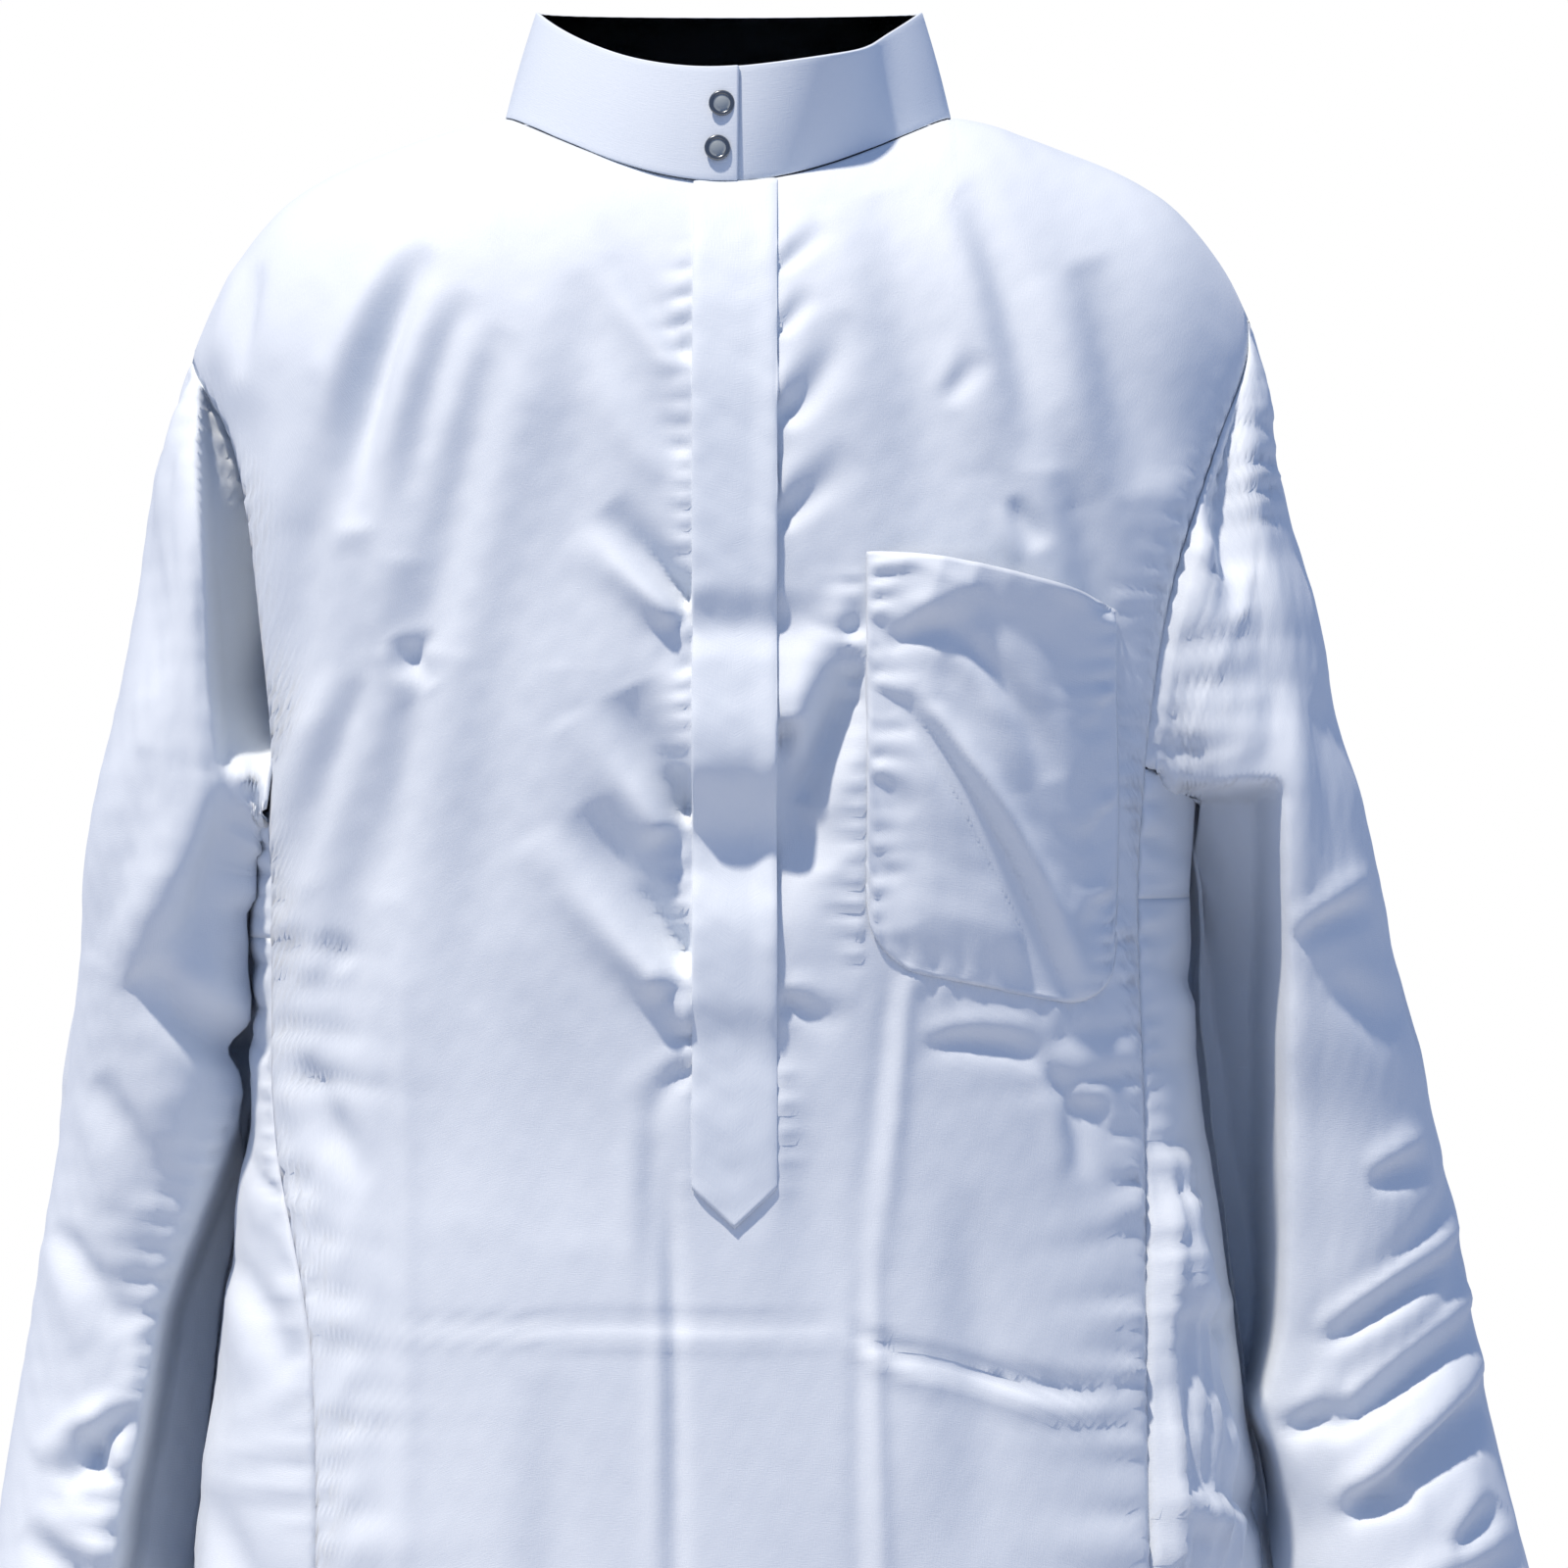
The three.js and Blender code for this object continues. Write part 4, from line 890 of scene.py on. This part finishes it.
def sleeve_recess(hand, x, z, share, run):
    facing = np.maximum(np.sin(share * 2 * math.pi), 0)
    deepest = 1.4 * read(SLEEVE, "z", z, "deep") * facing
    inward = (read(STEP_LINE[hand], "z", z, "x") - x) * hand
    if hand < 0:
        back = lerp(26, 56, smooth(-z, 380, 460)) * smooth(inward, -0.5, 4.5) * smooth(-z, 372, 382)
        back *= smooth(z, -680, -640)
        edge, seam = read(TROUGH, "z", z, "edge"), read(TROUGH, "z", z, "seam")
        into = np.clip((x - edge) / (seam - edge), 0, 1)
        hollow = read(TROUGH, "z", z, "deep") * (0.3 * smooth(into, 0, 0.15) + 0.7 * into)
        back = np.maximum(back, hollow * (z < -92) * (z > -300) * smooth(run, 0, 1.5))
        return np.minimum(back, deepest)
    back = lerp(44, 78, smooth(-z, 268, 350)) * smooth(inward, -2, 7) * smooth(-z, 262, 271)
    back *= smooth(z, -590, -520)
    return np.minimum(back, deepest) * smooth(run, 2, 10)

def make_sleeve(hand, word):
    share = np.linspace(0, 1, 141)
    if hand > 0:
        share = share[::-1]
    row = spread([(0, 1.2, 24), (1.2, CAP_ROWS, 66), (CAP_ROWS, 14, 96), (14, CAP_ROWS + ARM_ROWS, 22)])
    share, row = np.meshgrid(share, row)
    base = sleeve_form(hand, share, row)
    down = np.linalg.norm(np.diff(base, axis=0), axis=-1)
    run = np.concatenate([np.zeros((1, base.shape[1])), np.cumsum(down, 0)], 0)
    x, z = base[..., 0], base[..., 2]
    high = sleeve_height(hand, x, z, share, run)
    points = base + normals_of(base, ring=True) * high[..., None]
    points[..., 1] += sleeve_recess(hand, x, z, share, run)
    points -= arm_normal(hand, share * SLEEVE_COLUMNS) * groove(run)[..., None]
    points[:, -1] = points[:, 0]
    low = edge_z(hand, float(GUSSET_TOP))
    reach = flank(hand, points[..., 1], points[..., 2]) + 2
    close = points[..., 2] < low - 12
    points[..., 0] = np.where(close, hand * np.maximum(hand * points[..., 0], reach), points[..., 0])
    piece = cloth("made_sleeve_" + word, points, ring=True, flat=(0.46, 0.6))
    return dress(piece, CLOTH, "sleeve_" + word)

sleeves = {1: make_sleeve(1, "left"), -1: make_sleeve(-1, "right")}
print(len(sleeves), "sleeves")

# %% [markdown]
# ## Collar
# The collar is a stiff band that stands up round the neck, and its end laps over its start at the front. It
# is smooth, with a rounded top edge.

# %% Collar band
# The band's top is low in front and high behind. It leans inwards, but the overlapping end stands away.
TOP_SIDE, TOP_FRONT, TOP_BACK, LEAN = 43, 13.5, 48, 12

def neck_seam(angle):
    x = NECK_WIDE * np.sin(angle)
    ahead = np.cos(angle) > 0
    across = x / shoulder_x(x)
    return np.where(ahead[..., None], panel_point(-1, across, 0.0), panel_point(1, across, 0.0))

def collar_point(angle, up, out):
    base = neck_seam(angle)
    ahead = np.cos(angle)
    front_top = lerp(TOP_SIDE, TOP_FRONT, np.maximum(ahead, 0) ** 1.6)
    top = np.where(ahead > 0, front_top, lerp(TOP_SIDE, TOP_BACK, -ahead))
    away = base * np.array([1, 1, 0])
    away /= np.linalg.norm(away, axis=-1, keepdims=True)
    turn = (angle + math.pi) % (2 * math.pi) - math.pi
    stands = 5 * bell(turn / 0.7) + 22 * bell((turn - 0.4) / 0.34)
    p = base + away * (out - (LEAN - stands) * up)[..., None]
    p[..., 2] = lerp(base[..., 2] + 0.4, top, up)
    return p

LAP_START, LAP_END = -22 / NECK_FRONT, 3.4 / NECK_FRONT
angle = np.linspace(LAP_START, 2 * math.pi + LAP_END, 241)
angle, up = np.meshgrid(angle, np.linspace(1, 0, 17))
over = smooth(angle, 2 * math.pi - 0.75, 2 * math.pi - 0.32) * 2.4
swell = 0.5 * np.sin(up * math.pi) + 0.35 * wander(angle * 3.1, 71) * up
swell = swell + 0.18 * wander(angle * 14, 72) * (1 - up)
points = collar_point(angle, up, over + swell)
collar = cloth("collar", points, thick=2.0, flat=(0.5, 0.045))
edge_round = collar.modifiers.new("edge", "BEVEL")
edge_round.width, edge_round.segments, edge_round.limit_method = 0.6 * MM, 3, "ANGLE"
dress(collar, BAND, "collar_band")

# %% [markdown]
# ## Placket and pocket
# The placket strip lies over the slit. Its left edge is sewn down and its right edge is free, so it lifts a
# little and shades the cloth beside it. The underlap lies behind the slit.

# %% Placket strip and underlap
def strip_points(columns, rows):
    u = np.sin(np.linspace(-1, 1, columns + 1) * math.pi / 2)
    t = np.linspace(0, 1, rows + 1)
    u, t = np.meshgrid(u, t)
    x = STRIP_X + STRIP_HALF * u
    top = panel_point(-1, x / shoulder_x(x), 0.0)[..., 2] - 0.8
    z = lerp(top, strip_low(x), t)
    lift = smooth(u, 0.35, 1) * smooth(z, -372, -350) * (1.9 + 1.0 * wander(z / 30, 81)) * smooth(-z, 30, 60)
    rim = 0.9 * np.abs(u) ** 10
    ripple = 0.25 * wander(z / 9 + u, 82) * (1 - np.abs(u) ** 4) + 0.10 * unevenness(x, z, 83, 1.0, 7, 18)
    ripple += 0.35 * (np.abs(np.sin(z / 6 + wander(z / 40, 84))) - 0.5) * smooth(-u, 0.5, 0.95)
    return on_front(x, z, 1.6 + lift + ripple - rim)

strip = cloth("placket", strip_points(24, 170), thick=1.3, flat=(0.0324, 0.41))
dress(strip, BAND, "placket_strip")
UNDERLAP_LOW, UNDERLAP_BEHIND = -392, 2.4
columns = np.linspace(STRIP_X - STRIP_HALF + 5, STRIP_X + STRIP_HALF + 3, 15)
x, t = np.meshgrid(columns, np.linspace(0, 1, 121))
top = panel_point(-1, x / shoulder_x(x), 0.0)[..., 2] - 5.0
underlap = cloth("underlap", on_front(x, lerp(top, UNDERLAP_LOW, t), -UNDERLAP_BEHIND), flat=(0.03, 0.36))
dress(underlap, CLOTH, "placket_underlap")

# %% [markdown]
# ## Pocket
# The pocket is sewn on at its sides and bottom, so these edges stay flat and are drawn up by their stitches.
# Its mouth gapes, one corner has collapsed, and a strong fold crosses it.

# %% Chest pocket
POCKET_FOLDS = [
    Fold(66, -232, 127, -350, 5, 4.5, 9.0, -0.7),
    Fold(84, -206, 120, -262, 5, 5, 3.4, 0.5),
    Fold(52, -203, 68, -210, 0, 4, 2.8, 0.5, 1),
    Fold(52, -230, 72, -242, 0, 5, 3.2, 0.5, 1),
    Fold(52, -262, 70, -275, 0, 5, 3.0, 0.5, 1),
    Fold(52, -292, 66, -300, 0, 4, 2.2, 0.5, 1),
    Fold(150, -232, 134, -247, 0, 4, 2.4, 0.5, 1),
    Fold(150, -276, 130, -290, 0, 5, 3.0, 0.5, 1),
    Fold(150, -306, 132, -324, 0, 5, 3.0, 0.5, 1),
    Fold(60, -212, 92, -204, 2, 5, 3.6, 0.5),
]

def pocket_points(columns, rows):
    s, t = np.meshgrid(np.linspace(0, 1, columns + 1), np.linspace(0, 1, rows + 1))
    x = lerp(POCKET_LEFT, POCKET_RIGHT, s)
    z = lerp(pocket_top(x), pocket_low(x), t)
    down = pocket_top(x) - z
    gape = (8 * bell(down / 17) + 4 * bell(down / 45)) * np.sin(math.pi * np.clip(s, 0, 1)) ** 0.7
    corner = 5 * bell((x - 74) / 16) * bell((down - 12) / 16)
    from_left, from_right = x - POCKET_LEFT, POCKET_RIGHT - x
    low = z - pocket_low(x)
    rim = np.minimum(np.minimum(from_left, from_right), low)
    high = fold_height(x, z, POCKET_FOLDS) * smooth(rim, 0, 5)
    high += pucker(z, from_left, 91, 9, 4, 3.0) + pucker(z, from_right, 92, 9, 4, 2.2)
    high += pucker(x, low, 93, 9, 3.4, 1.8)
    high += crumple(x, z, 96, 1.2, 15) * bell((x - 76) / 22) * bell(down / 34)
    high += unevenness(x, z, 94, 0.7, 30, 70) + unevenness(x, z, 95, 0.12, 8, 20)
    high = np.maximum(high, -0.6 - 3 * smooth(rim, 3, 25)) * smooth(rim, 0, 3)
    return on_front(x, z, 1.5 + gape + corner + 3 * smooth(rim, 3, 25) + high)

pocket = cloth("pocket", pocket_points(72, 84), thick=0.9, flat=(0.1, 0.16))
dress(pocket, CLOTH, "chest_pocket")

# %% [markdown]
# ## Buttons
# Two small domed studs close the collar. Each is a profile spun about its axis: a smoky, pearly dome in a
# dark polished rim.

# %% Buttons
PROFILE = [(0, 0), (4.2, 0), (5, 0.5), (5, 1.1), (4.5, 1.6), (3.7, 1.6), (3.3, 0.9), (2.3, 1.5), (1.15, 1.85),
           (0, 1.95)]
DOME_RADIUS, STANDS_OFF = 3.4, 2.8

def make_button(k, x, share):
    at = math.asin(x / NECK_WIDE)
    place = collar_point(np.array(at), np.array(1 - share), np.array(STANDS_OFF))
    above = collar_point(np.array(at), np.array(1 - share + 0.05), np.array(STANDS_OFF)) - place
    up = Vector(above).normalized()
    side = Vector((1, 0, 0))
    out = side.cross(up).normalized()
    bm = bmesh.new()
    verts = [bm.verts.new((r, 0, h)) for r, h in PROFILE]
    edges = [bm.edges.new((a, b)) for a, b in zip(verts, verts[1:])]
    bmesh.ops.spin(bm, geom=verts + edges, cent=(0, 0, 0), axis=(0, 0, 1), dvec=(0, 0, 0),
                   angle=2 * math.pi, steps=40, use_merge=True)
    bmesh.ops.remove_doubles(bm, verts=bm.verts, dist=1e-4)
    bmesh.ops.recalc_face_normals(bm, faces=bm.faces)
    for face in bm.faces:
        face.smooth = True
        face.material_index = 1 if Vector(face.calc_center_median().xy).length > DOME_RADIUS else 0
    turn = Matrix((side, up, out)).transposed().to_4x4()
    moved = Matrix.Scale(MM, 4) @ Matrix.Translation(Vector(place) + out * 0.5) @ turn
    bmesh.ops.transform(bm, matrix=moved, verts=bm.verts)
    mesh = bpy.data.meshes.new(f"button_{k}")
    bm.to_mesh(mesh)
    bm.free()
    button = bpy.data.objects.new(f"button_{k}", mesh)
    bpy.context.scene.collection.objects.link(button)
    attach(button, "root")
    dress(button, PEARL, f"collar_button_{k}")
    mesh.materials.append(RIM)
    return button

buttons = [make_button(k + 1, x, share) for k, (x, share) in enumerate(((-2, 0.33), (-3.6, 0.72)))]
print(len(buttons), "buttons")

# %% [markdown]

# %% [markdown]
# ## Floor
# The robe stands on a plain pale floor, a hair below its hem. It catches the shadow in wide views.

# %% Floor
bpy.ops.mesh.primitive_plane_add(size=5, location=(0, 0, HEM * MM - 0.002))
floor = bpy.context.object
floor.name = "floor"
floor.data.materials.append(finish_of("pale floor", (0.5, 0.5, 0.52), 0.8, woven=False))
print("floor at", round(floor.location.z, 3))

# %% [markdown]
# ## A card over the neck
# The hollow inside the collar should read as dark. A black card lies over the neck and keeps the sun out of
# it. The camera doesn't see the card, which is part of the lighting and not of the robe.

# %% Neck card
angle, reach = np.meshgrid(np.linspace(0, 2 * math.pi, 49), np.linspace(0.02, 1, 5))
rim = collar_point(angle, 1.0 + 0 * angle, -1.6 + 0 * angle)
card = cloth("card", rim * np.stack([reach, reach, 1 + 0 * reach], -1), ring=True)
card.visible_camera = False
card.data.materials.append(finish_of("black card", (0.01, 0.01, 0.01), 0.9, woven=False))

print("card of", len(card.data.polygons), "faces")

# %% [markdown]
# ## Sun and sky
# A sun lamp gives the hard key light. Its colour is warm and the sky's is blue, as outdoors, so that lit
# cloth looks white and shaded cloth looks blue. A light path node shows the camera plain white instead.

# %% Sun and sky
SUN_AROUND, SUN_ABOVE, SUN_STRENGTH, SUN_SOFT = -43, 64, 4.15, 3
SUN_COLOR, SKY_COLOR, SKY_STRENGTH = (1.0, 0.91, 0.785), (0.42, 0.59, 1.0, 1), 0.52
key = bpy.data.objects.new("key", bpy.data.lights.new("key", "SUN"))
bpy.context.scene.collection.objects.link(key)
key.data.energy, key.data.angle = SUN_STRENGTH, math.radians(SUN_SOFT)
key.data.color = SUN_COLOR
around, above = math.radians(SUN_AROUND), math.radians(SUN_ABOVE)
toward = Vector((math.sin(around) * math.cos(above), -math.cos(around) * math.cos(above), math.sin(above)))
key.rotation_euler = toward.to_track_quat("Z", "Y").to_euler()

world = bpy.data.worlds.new("studio")
bpy.context.scene.world = world
world.use_nodes = True
nodes, links = world.node_tree.nodes, world.node_tree.links
nodes.clear()
path = nodes.new("ShaderNodeLightPath")
fill, white = nodes.new("ShaderNodeBackground"), nodes.new("ShaderNodeBackground")
mix, out = nodes.new("ShaderNodeMixShader"), nodes.new("ShaderNodeOutputWorld")
fill.inputs["Color"].default_value, fill.inputs["Strength"].default_value = SKY_COLOR, SKY_STRENGTH
white.inputs["Color"].default_value, white.inputs["Strength"].default_value = (1, 1, 1, 1), 1.0
links.new(path.outputs["Is Camera Ray"], mix.inputs["Fac"])
links.new(fill.outputs["Background"], mix.inputs[1])
links.new(white.outputs["Background"], mix.inputs[2])
links.new(mix.outputs["Shader"], out.inputs["Surface"])
bpy.context.scene.view_settings.view_transform = "Standard"
print("light from", [round(v, 2) for v in toward])
